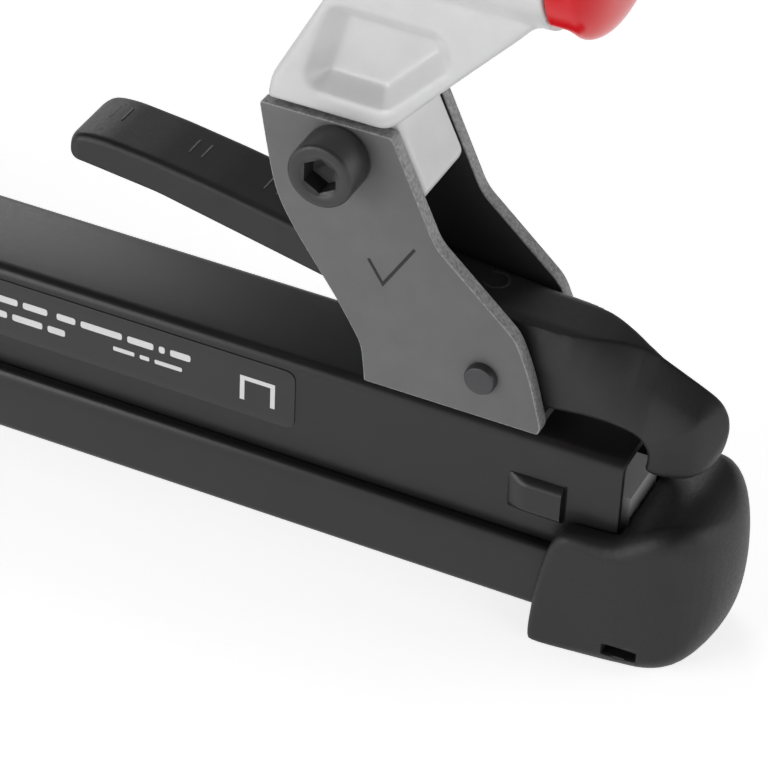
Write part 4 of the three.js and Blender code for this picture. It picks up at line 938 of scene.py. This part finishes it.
angle = np.linspace(0, 2 * math.pi, 96, endpoint=False)
rings = np.empty((len(path_x), len(angle), 3))
rings[:, :, 0] = path_x[:, None]
rings[:, :, 1] = (GRIP_HALF_Y + path_out)[:, None] * np.cos(angle)
rings[:, :, 2] = (GRIP_HALF_Z + path_out)[:, None] * np.sin(angle)
at = np.arange(rings.shape[0] * rings.shape[1]).reshape(rings.shape[:2])
below, beside = np.roll(at, -1, 0), np.roll(at, -1, 1)
quads = np.stack([at, beside, np.roll(below, -1, 1), below], -1).reshape(-1, 4).tolist()
grip = closed("handle_grip_ribbed", (rings.reshape(-1, 3), quads), [rubber], (0, 0, HANDLE_Z))
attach(grip, "stapler_frame")
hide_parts("handle_grip")


# ------------------------------------------------------------------ other screws
# Socket head cap screws in black oxide hold the cylinder cap, the exhaust deflector, the nose
# and its plate, and the upper channel.
SCREWS = [  # name's start, count, axis, side that the head is on, head height, shank radius
    ("cap_screw_{}", 4, "z", -1, 5.0, 2.5),
    ("deflector_screw", 1, "z", -1, 2.6, 2.0),
    ("nose_plate_screw_{}", 4, "x", 1, 3.0, 1.5),
    ("nose_screw_{}", 4, "z", 1, 3.6, 2.0),
    ("channel_screw_left", 1, "y", 1, 1.9, 1.5),
    ("channel_screw_right", 1, "y", -1, 1.9, 1.5),
]
for start, count, axis, down, head_h, shank_r in SCREWS:
    for number in range(1, count + 1):
        node = start.format(number)
        low, high = (np.array(corner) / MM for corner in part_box(node))
        along = "xyz".index(axis)
        rim = low[along] + head_h if down > 0 else high[along] - head_h
        length = high[along] - rim if down > 0 else rim - low[along]
        head_r = min(np.delete(high - low, along)) / 2
        place = (low + high) / 2
        place[along] = rim
        rows = cap_screw(head_r, head_h, shank_r, length, down, 0.5)
        piece = closed(node + "_turned", turned(rows, axis, 48), [black_oxide], place)
        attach(piece, "stapler_frame")
        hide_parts(node)


# ------------------------------------------------------------------ pieces with broken edges
# Machined, moulded and pressed pieces of the head and the nose: their edges are broken by a
# small bevel, and their round faces shade smooth.
EDGED = [  # name, body it moves with, slot, finish, width of the bevel
    ("cylinder_cap", "stapler_frame", "silver_paint", silver_paint, 0.7),
    ("exhaust_deflector", "deflector", "black_moulded", black_nylon, 0.35),
    ("nose_body", "stapler_frame", "black_oxide", black_oxide, 0.4),
    ("nose_plate", "stapler_frame", "black_oxide", black_oxide, 0.3),
    ("trigger", "trigger", "black_moulded", black_nylon, 0.5),
]
for node, body, slot, own_finish, width in EDGED:
    mesh = frame["nodes"][node].data.copy()
    mesh.materials.clear()
    work = bmesh.new()
    work.from_mesh(mesh)
    bmesh.ops.remove_doubles(work, verts=work.verts, dist=1e-6)
    bmesh.ops.dissolve_limit(
        work, angle_limit=math.radians(1), verts=work.verts, edges=work.edges
    )
    work.to_mesh(mesh)
    work.free()
    piece = shown(node + "_edged", mesh, [own_finish], 38)
    bevel = piece.modifiers.new("broken_edges", "BEVEL")
    bevel.width = width * MM
    bevel.segments = 3
    bevel.limit_method = "ANGLE"
    bevel.angle_limit = math.radians(40)
    bevel.harden_normals = False
    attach(piece, body)
    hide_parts(node)


# ------------------------------------------------------------------ springs
# Compression springs of round spring steel wire behind the head valve, the trigger valve, the
# latch and the pusher.
spring_steel = finish("spring_steel", (0.3, 0.3, 0.31), 0.33, 0.95, 1600, 0.006, 0.08, 0.06)
SPRINGS = {  # wire, turns, how far the joint presses the spring together
    "head_valve_spring": (0.9, 3.5, 3.0),
    "trigger_valve_spring": (0.6, 5, 1.6),
    "latch_spring": (0.6, 6, 2.6),
    "pusher_spring": (0.6, 15, 60.2),
}


def coil(outer_r, wire, length, turns):
    """Round wire wound in a helix along Z: a ring of points round the wire's line at every
    step, quads between the rings, and a flat face on both ends."""
    share = np.linspace(0, 1, int(turns * 36) + 1)
    turn = 2 * math.pi * turns * share
    out = np.stack([np.cos(turn), np.sin(turn), np.zeros_like(turn)], -1)
    line = (outer_r - wire / 2) * out
    line[:, 2] = wire / 2 + (length - wire) * share
    along = np.gradient(line, axis=0)
    along /= np.linalg.norm(along, axis=1)[:, None]
    side = np.cross(along, out)
    around = np.linspace(0, 2 * math.pi, 12, endpoint=False)[None, :, None]
    round_wire = out[:, None] * np.cos(around) + side[:, None] * np.sin(around)
    rings = line[:, None] + wire / 2 * round_wire
    at, sides = wrapped(*rings.shape[:2])
    return rings.reshape(-1, 3), sides + [at[0].tolist(), at[-1].tolist()]


for joint in frame["record"]["behaviour"]["joints"]:
    for pressed in joint.get("deforming_nodes", []):
        node, along_axis = pressed["node"], "xyz".index(pressed["mode"][-1])
        wire, turns, press = SPRINGS[node]
        low, high = (np.array(corner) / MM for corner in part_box(node))
        length = (high - low)[along_axis]
        outer_r = max(np.delete(high - low, along_axis)) / 2
        middle = (low + high) / 2
        middle[along_axis] = low[along_axis]
        wound, faces = coil(outer_r, wire, length, turns)
        wound = np.roll(wound, along_axis - 2, 1)
        spring = closed(node + "_wound", (wound, faces), [spring_steel], middle, 60)
        fixed = middle.copy()
        fixed[along_axis] = pressed[f"fixed_end_{'xyz'[along_axis]}_m"] / MM
        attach(spring, joint["parent"])
        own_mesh(spring)
        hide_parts(node)


# ------------------------------------------------------------------ pieces kept as they are
# The other pieces have their right shape already and take a finish each.
bright_steel = finish("bright_steel", (0.5, 0.5, 0.5), 0.34, 0.9, 1800, 0.003, 0.03, 0.03)
kept = {
    "silver_paint": silver_paint,
    "black_rubber": rubber,
    "black_oxide": black_oxide,
    "black_moulded": black_nylon,
    "bare_aluminium": finish("bare_aluminium", (0.6, 0.61, 0.62), 0.32, 0.95, 1800, 0.006),
    "spring_steel": spring_steel,
    "bright_steel": bright_steel,
    "amber_rubber": finish("amber_rubber", (0.35, 0.12, 0.03), 0.5, 0.0, 900, 0.01),
    "brass": finish("brass", (0.55, 0.4, 0.14), 0.3, 0.95, 1500, 0.006),
    "red_gloss": red_gloss,
    "bracket_steel": black_oxide_plate,
    "satin_black": satin_black,
    "lever_black": lever_black,
    "label_print": vinyl,
}
zinc = finish("catch_zinc", (0.7, 0.7, 0.7), 0.45, 0.3, 1800, 0.003, 0.03, 0.03)
for entry in frame["record"]["subparts"]:
    for holder in frame["nodes"][entry["node"]].material_slots:
        holder.material = zinc if entry["node"] == "latch_catch" else kept[entry["material_slot"]]
